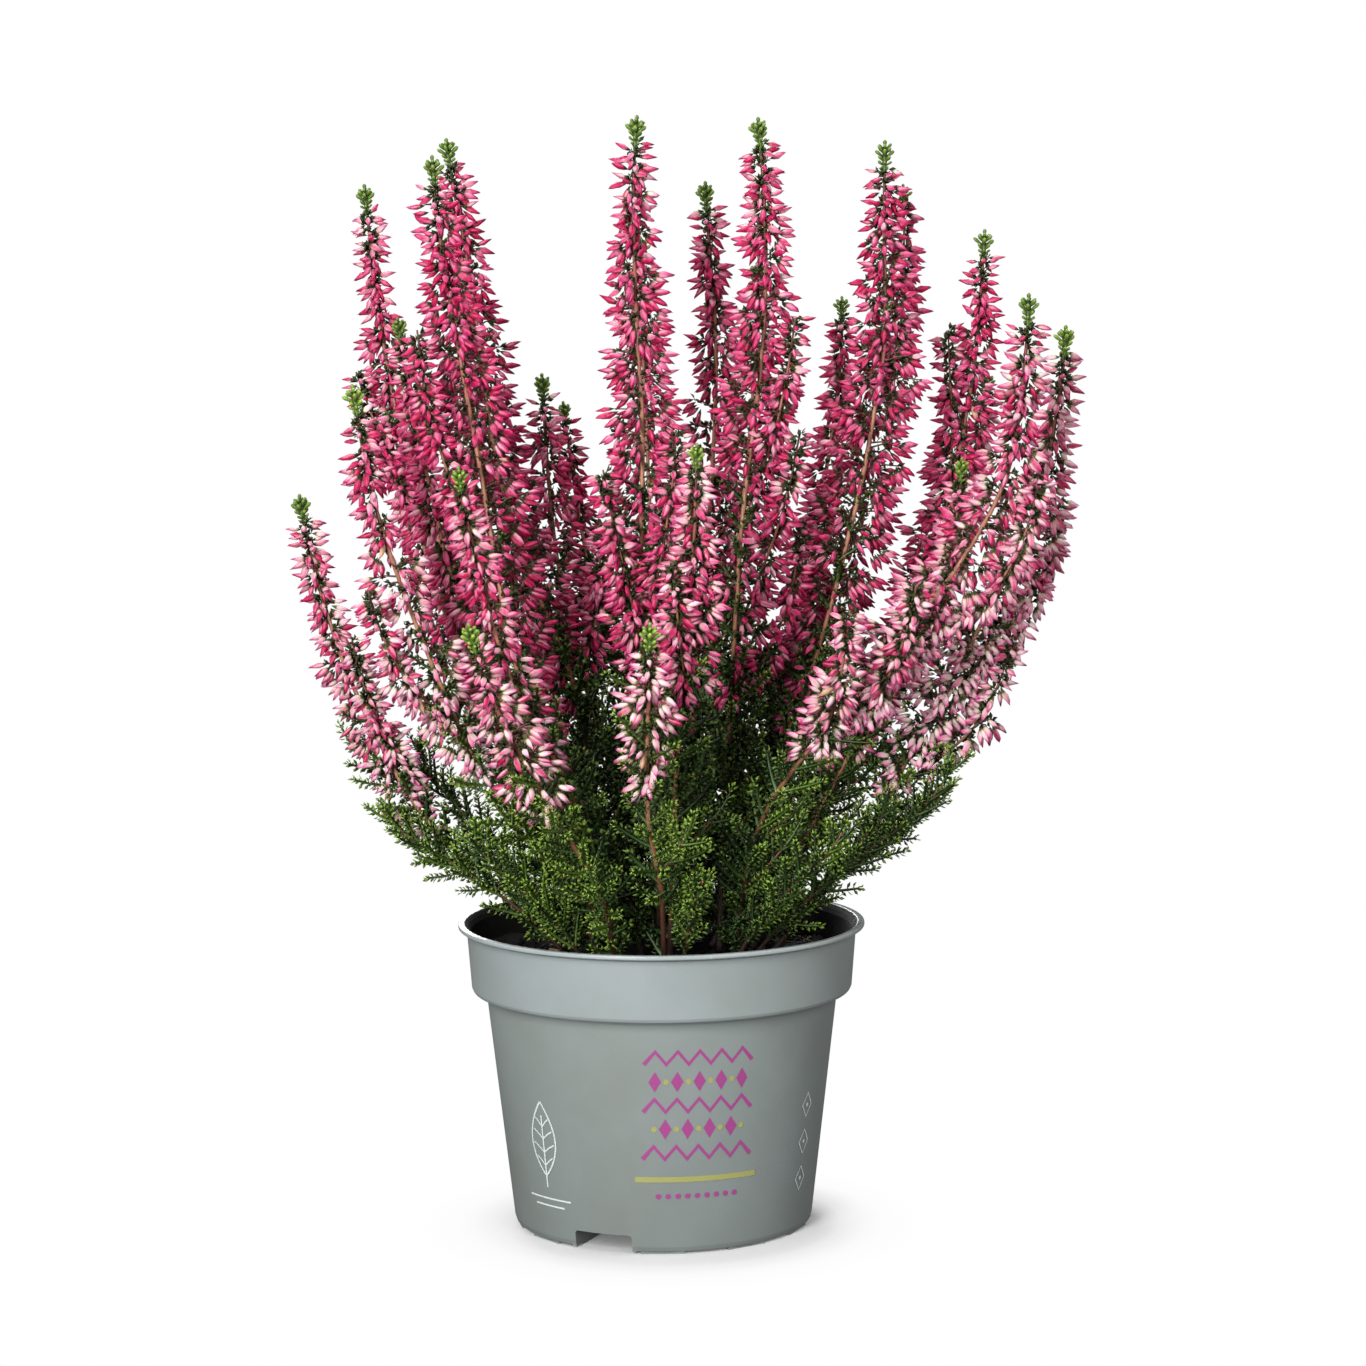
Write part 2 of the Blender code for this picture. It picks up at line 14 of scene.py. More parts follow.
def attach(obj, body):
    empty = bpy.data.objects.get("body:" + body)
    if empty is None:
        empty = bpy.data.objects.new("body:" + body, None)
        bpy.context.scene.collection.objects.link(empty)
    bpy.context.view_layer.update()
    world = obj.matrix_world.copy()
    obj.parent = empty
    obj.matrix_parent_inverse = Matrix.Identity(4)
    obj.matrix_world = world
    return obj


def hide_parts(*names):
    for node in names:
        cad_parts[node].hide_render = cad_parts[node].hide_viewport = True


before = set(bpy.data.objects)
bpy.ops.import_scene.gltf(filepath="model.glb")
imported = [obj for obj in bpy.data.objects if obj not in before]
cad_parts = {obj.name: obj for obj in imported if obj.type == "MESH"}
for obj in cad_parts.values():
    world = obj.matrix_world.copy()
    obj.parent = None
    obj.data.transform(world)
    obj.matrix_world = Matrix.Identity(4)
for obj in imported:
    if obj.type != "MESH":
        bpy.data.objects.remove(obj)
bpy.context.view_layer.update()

MM = 0.001
TAU = math.tau

# ---------------------------------------------------------------- the view
EYE = (6.86, -1020.0, 265.8)
VIEW_PITCH = 0.1036
VIEW_ROLL = 0.0068
VIEW_FOCAL = 3491.0
VIEW_SIZE = 1366.0
VIEW_MIDDLE = 683.0

# ---------------------------------------------------------------- the plant's layout, as in the CAD
SOIL_TOP = 80.0
STEM_FOOT = SOIL_TOP + 0.35
TIP_LENGTH = 10.0
BUD_ROOM = 0.92
FINE = 3.0

SPIKES = (
    ("01", 28, 156, None, 10, ((364, 184), (372, 258), (381, 326), (389, 379), (408, 450), (432, 520), (470, 600), (515, 690))),
    ("02", -14, 143, (-6, -13), 12, ((432, 155), (438, 225), (458, 348), (478, 457), (496, 570), (510, 662), (540, 741), (580, 803), (622, 868))),
    ("03", 36, 156, None, 12, ((446, 138), (452, 184), (462, 229), (478, 330), (492, 430), (515, 540), (545, 640), (575, 720))),
    ("04", -42, 141, (-18, -12), 11, ((352, 384), (361, 439), (371, 492), (394, 566), (421, 637), (446, 694), (472, 752), (506, 805), (560, 865))),
    ("05", 12, 119, (-27, 2), 9, ((299, 494), (307, 542), (321, 594), (335, 639), (351, 682), (371, 726), (400, 780), (431, 828), (500, 885))),
    ("06", -74, 131, (-13, -25), 10, ((468, 623), (477, 663), (489, 691), (510, 736), (537, 784), (566, 839), (599, 882))),
    ("07", 46, 166, None, 11, ((541, 373), (543, 425), (546, 480), (551, 539), (558, 591), (568, 636), (585, 700), (610, 770))),
    ("08", -20, 158, (-1, -6), 12, ((637, 115), (633, 180), (634, 252), (638, 351), (643, 432), (641, 535), (643, 612), (650, 700), (658, 800))),
    ("09", 26, 168, None, 11, ((705, 181), (708, 234), (715, 314), (716, 388), (711, 490), (704, 590), (696, 690), (690, 790))),
    ("10", 2, 157, (17, -2), 13, ((758, 117), (763, 180), (766, 252), (763, 344), (755, 417), (742, 518), (736, 600), (731, 667), (730, 715), (722, 830))),
    ("11", 16, 160, None, 14, ((885, 140), (884, 207), (885, 296), (885, 348), (874, 412), (868, 453), (860, 491), (846, 547), (835, 597), (815, 670), (790, 750), (760, 830))),
    ("12", 44, 158, None, 11, ((985, 229), (981, 289), (975, 363), (966, 414), (955, 480), (940, 545), (915, 620), (880, 690), (840, 760))),
    ("13", -56, 142, (21, -17), 12, ((1029, 293), (1028, 331), (1022, 388), (1015, 446), (1004, 487), (979, 533), (944, 587), (909, 627), (866, 679), (828, 727), (778, 789), (757, 830), (745, 880))),
    ("14", -24, 134, (32, -8), 12, ((1066, 325), (1062, 382), (1054, 427), (1044, 493), (1027, 544), (995, 596), (964, 658), (926, 716), (905, 764), (868, 837), (824, 885))),
    ("15", -78, 142, (1, -28), 10, ((650, 622), (649, 676), (647, 765), (646, 810), (656, 861), (662, 895))),
    ("16", 84, 160, None, 12, ((452, 232), (458, 300), (468, 380), (485, 470), (510, 570), (545, 660))),
    ("17", 96, 172, None, 12, ((640, 236), (642, 320), (646, 420), (650, 520), (655, 620), (660, 700))),
    ("18", 90, 172, None, 12, ((757, 262), (756, 340), (750, 430), (740, 520), (728, 620), (715, 700))),
    ("19", 80, 160, None, 12, ((886, 290), (880, 370), (866, 450), (845, 540), (815, 630), (780, 710))),
)
SHORT_SPIKES = (
    ("20", -2, 150, None, 8, ((397, 317), (408, 373), (419, 439), (434, 505), (452, 575), (478, 650), (510, 720), (550, 790))),
    ("21", -58, 148, None, 9, ((458, 466), (462, 507), (475, 551), (487, 605), (500, 650), (530, 720), (570, 790))),
    ("22", 72, 165, None, 8, ((563, 401), (569, 449), (579, 518), (590, 590), (604, 660), (622, 740))),
    ("23", 66, 160, None, 8, ((842, 296), (843, 330), (842, 359), (837, 406), (828, 470), (815, 540), (800, 620), (780, 700))),
    ("24", -54, 155, None, 10, ((697, 443), (695, 518), (693, 560), (688, 620), (682, 700), (676, 780))),
    ("25", 10, 145, None, 8, ((962, 457), (960, 500), (950, 550), (930, 610), (900, 670), (860, 730))),
    ("26", 74, 150, None, 11, ((388, 404), (402, 470), (425, 550), (455, 630), (500, 710))),
    ("27", 70, 150, None, 11, ((988, 372), (980, 440), (958, 520), (925, 600), (880, 680))),
)
LEAFY_SHOOTS = (
    (12, 58, 110),
    (47, 70, 122),
    (74, 88, 140),
    (101, 84, 124),
    (132, 76, 132),
    (160, 74, 124),
    (190, 72, 142),
    (219, 78, 124),
    (248, 80, 140),
    (277, 82, 124),
    (309, 70, 122),
)

# How pale a spike's buds are at its top and at its foot, from 0, deep magenta, to 1, nearly white
PALE = {
    "01": (0.32, 0.38),
    "02": (0.14, 0.30),
    "03": (0.16, 0.22),
    "04": (0.40, 0.95),
    "05": (0.45, 1.10),
    "06": (0.55, 1.05),
    "07": (0.30, 0.32),
    "08": (0.34, 0.36),
    "09": (0.30, 0.24),
    "10": (0.30, 0.26),
    "11": (0.22, 0.22),
    "12": (0.16, 0.28),
    "13": (0.46, 0.95),
    "14": (0.56, 1.20),
    "15": (0.80, 0.88),
    "20": (0.34, 0.44),
    "21": (0.52, 0.78),
    "24": (0.42, 0.58),
    "25": (0.42, 0.62),
    "27": (0.25, 0.50),
}

# Side spikes that stand beside a main stem: parent, depth, points from the tip down to where it joins
SIDE_SPIKES = (
    ("11", 26, 7.5, ((903, 184), (904, 230), (903, 290), (898, 350), (884, 430))),
    ("02", -24, 7.0, ((417, 330), (425, 390), (440, 450), (466, 520), (490, 580))),
    ("10", -6, 7.0, ((795, 318), (791, 350), (784, 390), (772, 440), (750, 500))),
    ("10", -10, 7.5, ((800, 430), (793, 470), (780, 520), (762, 570), (738, 630))),
    ("08", -30, 7.0, ((603, 470), (610, 510), (622, 560), (636, 620), (646, 680))),
    ("08", -28, 7.0, ((676, 430), (673, 480), (664, 540), (652, 600), (646, 660))),
    ("13", -52, 7.0, ((1040, 470), (1030, 520), (1008, 570), (975, 610), (925, 640))),
    ("14", -14, 7.5, ((1060, 500), (1050, 550), (1030, 600), (1002, 640), (960, 680))),
    ("13", -60, 8.0, ((916, 585), (910, 620), (898, 655), (884, 685), (866, 712))),
    ("14", -18, 8.5, ((1000, 600), (988, 640), (968, 680), (944, 712), (914, 740))),
    ("14", -20, 8.0, ((1012, 640), (1000, 680), (980, 720), (950, 750), (910, 780))),
    ("13", -62, 8.0, ((850, 610), (845, 650), (838, 690), (832, 715), (822, 740))),
    ("04", -44, 7.0, ((368, 590), (380, 630), (400, 670), (425, 700), (450, 720))),
    ("05", 8, 6.5, ((352, 640), (362, 680), (378, 720), (400, 760), (425, 800))),
    ("12", 40, 7.0, ((948, 330), (950, 380), (952, 430), (950, 480), (942, 540))),
    ("01", 24, 6.5, ((356, 372), (366, 400), (382, 440), (405, 490), (440, 550))),
    ("10", 6, 7.5, ((800, 520), (797, 560), (788, 600), (772, 645), (738, 700))),
    ("11", 26, 7.5, ((812, 560), (812, 600), (806, 640), (800, 680), (786, 735))),
    ("07", 34, 7.0, ((600, 520), (600, 560), (598, 600), (592, 640), (584, 690))),
    ("24", -58, 7.0, ((672, 560), (676, 600), (680, 640), (684, 680), (680, 720))),
)


def front(u, v, depth):
    c, s = math.cos(VIEW_PITCH), math.sin(VIEW_PITCH)
    cr, sr = math.cos(VIEW_ROLL), math.sin(VIEW_ROLL)
    du, dv = u - VIEW_MIDDLE, VIEW_MIDDLE - v
    across, up = cr * du + sr * dv, cr * dv - sr * du
    t = (depth - EYE[1]) / (s * up / VIEW_FOCAL + c)
    return np.array((EYE[0] + t * across / VIEW_FOCAL, depth, EYE[2] + t * (c * up / VIEW_FOCAL - s)))


def spline(points, step):
    p = np.array(points, float)
    p = np.vstack((2 * p[0] - p[1], p, 2 * p[-1] - p[-2]))
    fine = []
    for a, b, c, d in zip(p[:-3], p[1:-2], p[2:-1], p[3:]):
        for k in range(12):
            t = k / 12
            fine.append(0.5 * (2 * b + (c - a) * t + (2 * a - 5 * b + 4 * c - d) * t**2 + (3 * b - a - 3 * c + d) * t**3))
    fine.append(p[-2])
    fine = np.array(fine)
    along = np.concatenate(([0], np.cumsum(np.linalg.norm(np.diff(fine, axis=0), axis=1))))
    count = max(8, int(round(along[-1] / step)) + 1)
    at = np.linspace(0, along[-1], count)
    return np.stack([np.interp(at, along, fine[:, k]) for k in range(3)], 1)


def smooth_curve(curve, rounds):
    for _ in range(rounds):
        curve[1:-1] += 0.5 * (0.5 * (curve[:-2] + curve[2:]) - curve[1:-1])
    return curve


def spike_axis(depth, foot, seen):
    tip = front(*seen[0], depth)
    last = front(*seen[-1], 0.4 * depth)
    if foot is None:
        foot = np.array((0.5 * last[0], 0.30 * depth))
        foot *= min(1.0, 27.0 / max(np.hypot(*foot), 1e-6))
    points = []
    for u, v in seen:
        z = tip[2]
        for _ in range(4):
            h = min(max((z - STEM_FOOT) / (tip[2] - STEM_FOOT), 0.0), 1.0)
            y = foot[1] + (depth - foot[1]) * (1 - (1 - h) ** 1.7)
            z = front(u, v, y)[2]
        points.append(front(u, v, y))
    points.append(np.array((foot[0], foot[1], STEM_FOOT)))
    return smooth_curve(spline(points, FINE), 6)


def shoot_axis(azimuth, reach, height):
    out = np.array((math.sin(math.radians(azimuth)), -math.cos(math.radians(azimuth))))
    points = []
    for k in range(7):
        t = k / 6
        r = 29.0 + (reach - 29.0) * math.sin(0.5 * math.pi * t) ** 1.3
        z = STEM_FOOT + (height - STEM_FOOT) * (0.45 * t + 0.55 * t**1.5) + 10.0 * math.sin(math.pi * t)
        points.append(np.array((out[0] * r, out[1] * r, z)))
    return spline(points[::-1], FINE)


def stem_radius(length, along):
    t = along / length
    return 0.55 + 0.95 * t**0.8 + 0.35 * max(0.0, (t - 0.93) / 0.07)


def lengths(axis):
    return np.concatenate(([0], np.cumsum(np.linalg.norm(np.diff(axis, axis=0), axis=1))))


def ease_apart(axes, radii):
    for _ in range(500):
        worst = 0.0
        for i in range(len(axes)):
            for j in range(i + 1, len(axes)):
                gap = axes[i][:, None, :] - axes[j][None, :, :]
                distance = np.sqrt((gap**2).sum(2))
                short = radii[i][:, None] + radii[j][None, :] + 1.6 - distance
                if short.max() <= 0:
                    continue
                a, b = np.unravel_index(short.argmax(), short.shape)
                worst = max(worst, short[a, b])
                push = gap[a, b] * (0.35, 1.0, 0.0)
                if abs(push[1]) < 0.5:
                    push[1] = 0.5 if axes[i][0][1] > axes[j][0][1] else -0.5
                push *= 0.4 * min(short[a, b] + 0.1, 2.5) / np.linalg.norm(push)
                for axis, at, way in ((axes[i], a, 1.0), (axes[j], b, -1.0)):
                    steps = np.abs(np.arange(len(axis)) - at)
                    axis += way * push[None, :] * np.exp(-((steps / 9.0) ** 2))[:, None]
        if worst <= 0.05:
            break
    for axis in axes:
        smooth_curve(axis, 4)
    return axes


def plant_axes():
    specs = SPIKES + SHORT_SPIKES
    axes = [spike_axis(s[1], s[3], s[5]) for s in specs]
    axes += [shoot_axis(*s) for s in LEAFY_SHOOTS]
    room = []
    for i, axis in enumerate(axes):
        along = lengths(axis)
        thick = np.array([stem_radius(along[-1], t) for t in along])
        if i < len(specs):
            in_bud = (along > TIP_LENGTH) & (axis[:, 2] > specs[i][2])
            thick = np.where(in_bud, BUD_ROOM * specs[i][4], thick)
        room.append(thick)
    return ease_apart(axes, room)


def spike_half_width(widest, t):
    return widest * (0.42 + 0.58 * min(1.0, t / 0.55) ** 0.8) * (1.0 - 0.45 * max(0.0, (t - 0.82) / 0.18))


# ---------------------------------------------------------------- meshes from many small parts
def unit(v):
    return v / np.maximum(np.linalg.norm(v, axis=-1, keepdims=True), 1e-12)


def read_line(line, at):
    """Points and unit tangents (towards the tip) at distances from the tip."""
    along = lengths(line)
    at = np.atleast_1d(np.asarray(at, float))
    p = np.stack([np.interp(at, along, line[:, k]) for k in range(3)], 1)
    q = np.stack([np.interp(np.maximum(at - 1.5, 0), along, line[:, k]) for k in range(3)], 1)
    w = np.stack([np.interp(np.minimum(at + 1.5, along[-1]), along, line[:, k]) for k in range(3)], 1)
    return p, unit(q - w)


class Soup:
    """Faces of one piece: points, four-cornered faces (a triangle repeats its last corner), their map places, material and values."""

    def __init__(self):
        self.points, self.faces, self.uv, self.slot, self.values = [], [], [], [], []
        self.count = 0

    def add(self, points, faces, uv, slot, values):
        """points (n, 3), faces (m, 4), uv (m, 4, 2), values (n, 4)"""
        self.points.append(points)
        self.faces.append(faces + self.count)
        self.uv.append(uv)
        self.slot.append(np.full(len(faces), slot, np.int32))
        self.values.append(np.broadcast_to(values, (len(points), 4)))
        self.count += len(points)

    def triangles(self):
        f = np.concatenate(self.faces)
        return int((1 + (f[:, 2] != f[:, 3])).sum())

    def make(self, name, materials, smooth=True):
        points = np.concatenate(self.points) * MM
        faces = np.concatenate(self.faces)
        uv = np.concatenate(self.uv)
        slot = np.concatenate(self.slot)
        values = np.concatenate(self.values)
        tri = faces[:, 2] == faces[:, 3]
        total = np.where(tri, 3, 4)
        start = np.concatenate(([0], np.cumsum(total)[:-1]))
        keep = np.ones(faces.shape, bool)
        keep[tri, 3] = False
        mesh = bpy.data.meshes.new(name)
        mesh.vertices.add(len(points))
        mesh.vertices.foreach_set("co", points.astype(np.float32).ravel())
        mesh.loops.add(int(total.sum()))
        mesh.loops.foreach_set("vertex_index", faces[keep].astype(np.int32))
        mesh.polygons.add(len(faces))
        mesh.polygons.foreach_set("loop_start", start.astype(np.int32))
        mesh.polygons.foreach_set("loop_total", total.astype(np.int32))
        mesh.polygons.foreach_set("material_index", slot)
        mesh.update(calc_edges=True)
        layer = mesh.uv_layers.new(name="OFBake")
        layer.uv.foreach_set("vector", uv[keep].astype(np.float32).ravel())
        for k, key in enumerate(("grow_along", "grow_ridge", "grow_chance", "grow_tone")):
            att = mesh.attributes.new(key, "FLOAT", "POINT")
            att.data.foreach_set("value", values[:, k].astype(np.float32))
        mesh.polygons.foreach_set("use_smooth", np.full(len(faces), smooth))
        for m in materials:
            mesh.materials.append(m)
        mesh.update()
        ob = bpy.data.objects.new(name, mesh)
        bpy.context.scene.collection.objects.link(ob)
        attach(ob, "root")
        return ob


def ringed(rings, base=None, tip=None):
    """A form along +Z. Each ring is a list of (radius, height, ridge), one a side. base and tip are heights of closing points, or None."""
    places, values, loops = [], [], []
    for ring in ([[(0.0, base, 1.0)]] if base is not None else []) + rings + ([[(0.0, tip, 0.6)]] if tip is not None else []):
        loop = []
        for k, (r, h, ridge) in enumerate(ring):
            a = TAU * k / len(ring)
            loop.append(len(places))
            places.append((r * math.cos(a), r * math.sin(a), h))
            values.append((h, ridge))
        loops.append(loop)
    sides = len(rings[0])
    low = min(p[2] for p in places)
    high = max(p[2] for p in places)
    faces, uv = [], []

    def at(u, i):
        return (u, (places[i][2] - low) / (high - low))

    for one, two in zip(loops[:-1], loops[1:]):
        for k in range(sides):
            n = (k + 1) % sides
            u0, u1 = k / sides, (k + 1) / sides
            if len(one) == 1:
                faces.append((two[k], one[0], two[n], two[n]))
                uv.append((at(u0, two[k]), at(0.5 * (u0 + u1), one[0]), at(u1, two[n]), at(u1, two[n])))
            elif len(two) == 1:
                faces.append((one[k], one[n], two[0], two[0]))
                uv.append((at(u0, one[k]), at(u1, one[n]), at(0.5 * (u0 + u1), two[0]), at(0.5 * (u0 + u1), two[0])))
            else:
                faces.append((one[k], one[n], two[n], two[k]))
                uv.append((at(u0, one[k]), at(u1, one[n]), at(u1, two[n]), at(u0, two[k])))
    return np.array(places, float), np.array(faces), np.array(uv, float), np.array(values, float)


def bud_form(belly, belly_at, neck, neck_at, point, parting, short, fine=True):
    """A closed bud on its cup and stalk: three folded sepals, whose points stand free at its end."""
    def ring(ridge, valley, height):
        return [(ridge, height, 1.0) if k % 2 == 0 else (valley, height, 0.0) for k in range(6)]

    points = []
    for k in range(6):
        if k % 2:
            points.append((0.50 * neck * parting + 0.12, neck_at + 0.11, 0.0))
        else:
            points.append((point, 1.0 - short * (k // 2), 1.0))
    rings = [ring(0.66, 0.56, 0.05), ring(belly, 0.84 * belly, belly_at)]
    if fine:
        rings.append(ring(neck, 0.66 * neck, neck_at))
    return ringed(rings + [points], -0.26, neck_at + 0.03)


def plain_form(radii, heights, sides, base=None, tip=None):
    return ringed([[(r, h, 1.0 if k % 2 == 0 else 0.4) for k in range(sides)] for r, h in zip(radii, heights)], base, tip)


BUD_SHAPES = (
    (1.00, 0.36, 0.68, 0.74, 0.13, 0.6, 0.05),
    (0.98, 0.33, 0.62, 0.72, 0.10, 0.5, 0.10),
    (1.00, 0.42, 0.74, 0.74, 0.10, 0.6, 0.05),
    (0.98, 0.46, 0.76, 0.76, 0.12, 0.6, 0.04),
)
BUDS = tuple(bud_form(*b) for b in BUD_SHAPES) + tuple(bud_form(*b, False) for b in BUD_SHAPES)
KNOB = plain_form((0.72, 1.0, 0.70), (-0.5, 0.15, 0.72), 5, -0.9, 0.98)
CLUB = plain_form((0.55, 1.0, 0.72), (-0.65, 0.40, 0.82), 5, -0.95, 1.0)
CRUMB = plain_form((0.85, 0.9), (-0.4, 0.45), 5, -0.9, 0.9)
# A scale leaf: keeled below, folded along its middle, closed
LEAF = (
    np.array(((0.0, 0.0, 0.0), (0.0, 0.0, 1.0), (-1.0, 0.42, 0.58), (1.0, 0.42, 0.58))),
    np.array(((0, 1, 2, 2), (0, 3, 1, 1), (0, 2, 3, 3), (1, 3, 2, 2))),
    np.array(
        (
            ((0.25, 0.0), (0.25, 1.0), (0.0, 0.42), (0.0, 0.42)),
            ((0.25, 0.0), (0.5, 0.42), (0.25, 1.0), (0.25, 1.0)),
            ((0.75, 0.0), (0.5, 0.42), (1.0, 0.42), (1.0, 0.42)),
            ((0.75, 1.0), (1.0, 0.42), (0.5, 0.42), (0.5, 0.42)),
        )
    ),
    np.array(((0.0, 1.0), (1.0, 1.0), (0.42, 0.0), (0.42, 0.0))),
)


def bases(directions, roll):
    """Turning matrices whose third column is the direction, turned about it by roll."""
    d = unit(directions)
    ref = np.where(np.abs(d[:, 2:3]) > 0.95, np.array(((1.0, 0.0, 0.0),)), np.array(((0.0, 0.0, 1.0),)))
    x = unit(np.cross(ref, d))
    y = np.cross(d, x)
    c, s = np.cos(roll)[:, None], np.sin(roll)[:, None]
    return np.stack((c * x + s * y, c * y - s * x, d), 2)


class Crop:
    """Copies of a template, gathered and then written to a soup in one go. Each copy has its own cell of the piece's map."""

    def __init__(self):
        self.rows = []

    def add(self, at, direction, length, width, flat, roll, chance, tone, bend=0.0):
        """All arguments broadcast to the number of copies."""
        at = np.atleast_2d(at)
        n = len(at)
        cols = [np.broadcast_to(np.asarray(x, float), (n,)) for x in (length, width, flat, roll, chance, tone, bend)]
        self.rows.append(np.hstack((at, np.broadcast_to(direction, (n, 3)), np.stack(cols, 1))))

    def table(self):
        return np.concatenate(self.rows) if self.rows else np.zeros((0, 13))

    def write(self, soup, template, slot, cells):
        rows = self.table()
        if not len(rows):
            return
        places, faces, uv, values = template
        m = bases(rows[:, 3:6], rows[:, 9])
        local = np.repeat(places[None], len(rows), 0)
        t = np.clip(local[:, :, 2], 0, 1)
        local = local * np.stack((rows[:, 7], rows[:, 7] * rows[:, 8], rows[:, 6]), 1)[:, None, :]
        local[:, :, 1] += rows[:, 12:13] * t**2 * rows[:, 6:7]
        points = np.einsum("nij,nkj->nki", m, local) + rows[:, None, :3]
        n, k = len(rows), len(places)
        all_faces = (faces[None] + (np.arange(n) * k)[:, None, None]).reshape(-1, 4)
        at, side = cells.take(n)
        cell_uv = (uv[None] * 0.86 + 0.07) * side + at[:, None, None, :]
        vals = np.empty((n, k, 4))
        vals[:, :, 0] = np.clip(values[None, :, 0], 0, 1)
        vals[:, :, 1] = values[None, :, 1]
        vals[:, :, 2] = rows[:, 10:11]
        vals[:, :, 3] = rows[:, 11:12]
        soup.add(points.reshape(-1, 3), all_faces, cell_uv.reshape(-1, 4, 2), slot, vals.reshape(-1, 4))


class Cells:
    """Shares a piece's map into equal square cells, one a copy."""

    def __init__(self, total):
        self.side = int(math.ceil(math.sqrt(max(total, 1))))
        self.used = 0

    def take(self, n):
        k = self.used + np.arange(n)
        self.used += n
        return np.stack((k % self.side, k // self.side), 1) / self.side, 1.0 / self.side


def tube(soup, line, radii, sides, slot, cells, chance, tone, closed=True, along=None):
    """A tube along a line from its tip to its foot. Values: share of its length, how far round, chance, tone."""
    line = np.asarray(line, float)
    radii = np.broadcast_to(radii, (len(line),))
    tangents = unit(np.gradient(line, axis=0))
    side = np.cross(tangents[0], (0.0, 1.0, 0.0) if abs(tangents[0][1]) < 0.9 else (1.0, 0.0, 0.0))
    side /= np.linalg.norm(side)
    rings = np.empty((len(line), sides, 3))
    angle = TAU * np.arange(sides) / sides
    for i, t in enumerate(tangents):
        side = side - t * side.dot(t)
        side /= np.linalg.norm(side)
        other = np.cross(t, side)
        rings[i] = line[i] + radii[i] * (np.cos(angle)[:, None] * side + np.sin(angle)[:, None] * other)
    n = len(line)
    idx = np.arange(n * sides).reshape(n, sides)
    nxt = np.roll(idx, -1, 1)
    faces = np.stack((idx[:-1], nxt[:-1], nxt[1:], idx[1:]), 2).reshape(-1, 4)
    u = np.arange(sides) / sides
    v = np.linspace(0, 1, n)
    uv = np.empty((n - 1, sides, 4, 2))
    uv[:, :, 0, 0] = uv[:, :, 3, 0] = u
    uv[:, :, 1, 0] = uv[:, :, 2, 0] = u + 1 / sides
    uv[:, :, 0, 1] = uv[:, :, 1, 1] = v[:-1, None]
    uv[:, :, 2, 1] = uv[:, :, 3, 1] = v[1:, None]
    uv = uv.reshape(-1, 4, 2)
    points = rings.reshape(-1, 3)
    vals = np.empty((n, sides, 4))
    vals[:, :, 0] = (v if along is None else along)[:, None]
    vals[:, :, 1] = np.abs(np.cos(2 * angle))[None]
    vals[:, :, 2] = chance
    vals[:, :, 3] = tone
    vals = vals.reshape(-1, 4)
    if closed:
        points = np.vstack((points, line[0], line[-1]))
        vals = np.vstack((vals, vals[0], vals[-1]))
        a, b = n * sides, n * sides + 1
        top = np.stack((np.full(sides, a), nxt[0], idx[0], idx[0]), 1)
        low = np.stack((np.full(sides, b), idx[-1], nxt[-1], nxt[-1]), 1)
        faces = np.vstack((faces, top, low))
        cap = np.zeros((2 * sides, 4, 2)) + 0.5
        cap[:sides, :, 1] = 0.0
        cap[sides:, :, 1] = 1.0
        uv = np.vstack((uv, cap))
    at, size = cells.take(1)
    soup.add(points, faces, (uv * 0.9 + 0.05) * size + at[0], slot, vals)


# ---------------------------------------------------------------- growth
class Bag:
    """What grows on one piece: buds by form, leaves, knobs, arms of the tips, and twigs."""

    def __init__(self):
        self.buds = [Crop() for _ in BUDS]
        self.leaves, self.knobs, self.clubs = Crop(), Crop(), Crop()
        self.twigs = []  # line, radii, sides, slot, chance, tone

    def crops(self):
        return (*self.buds, self.leaves, self.knobs, self.clubs)

    def copies(self):
        return sum(len(c.table()) for c in self.crops())

    def take(self, other):
        for mine, theirs in zip(self.crops(), other.crops()):
            mine.rows += theirs.rows
        self.twigs += other.twigs

    def write(self, soup, cells, slots):
        """slots: material index of petal, leaf and bark."""
        for form, crop in zip(BUDS, self.buds):
            crop.write(soup, form, slots["petal"], cells)
        self.leaves.write(soup, LEAF, slots["leaf"], cells)
        self.knobs.write(soup, KNOB, slots["leaf"], cells)
        self.clubs.write(soup, CLUB, slots["leaf"], cells)
        for line, radii, sides, kind, chance, tone in self.twigs:
            tube(soup, line, radii, sides, slots[kind], cells, chance, tone, closed=sides > 3)


def turned_about(v, axis, angle):
    """v turned about a unit axis."""
    return v * math.cos(angle) + np.cross(axis, v) * math.sin(angle) + axis * axis.dot(v) * (1 - math.cos(angle))


def across(tangent, turn=0.0):
    """Two unit directions across a stem: roughly left to right, and front to back."""
    a = np.array((1.0, 0.0, 0.0)) - tangent * tangent[0]
    a /= np.linalg.norm(a)
    b = np.cross(tangent, a)
    return a * math.cos(turn) + b * math.sin(turn), b * math.cos(turn) - a * math.sin(turn)


def outwards(p):
    r = np.array((p[0], p[1], 0.0))
    n = np.linalg.norm(r)
    return r / n if n > 1e-6 else np.array((0.0, -1.0, 0.0))


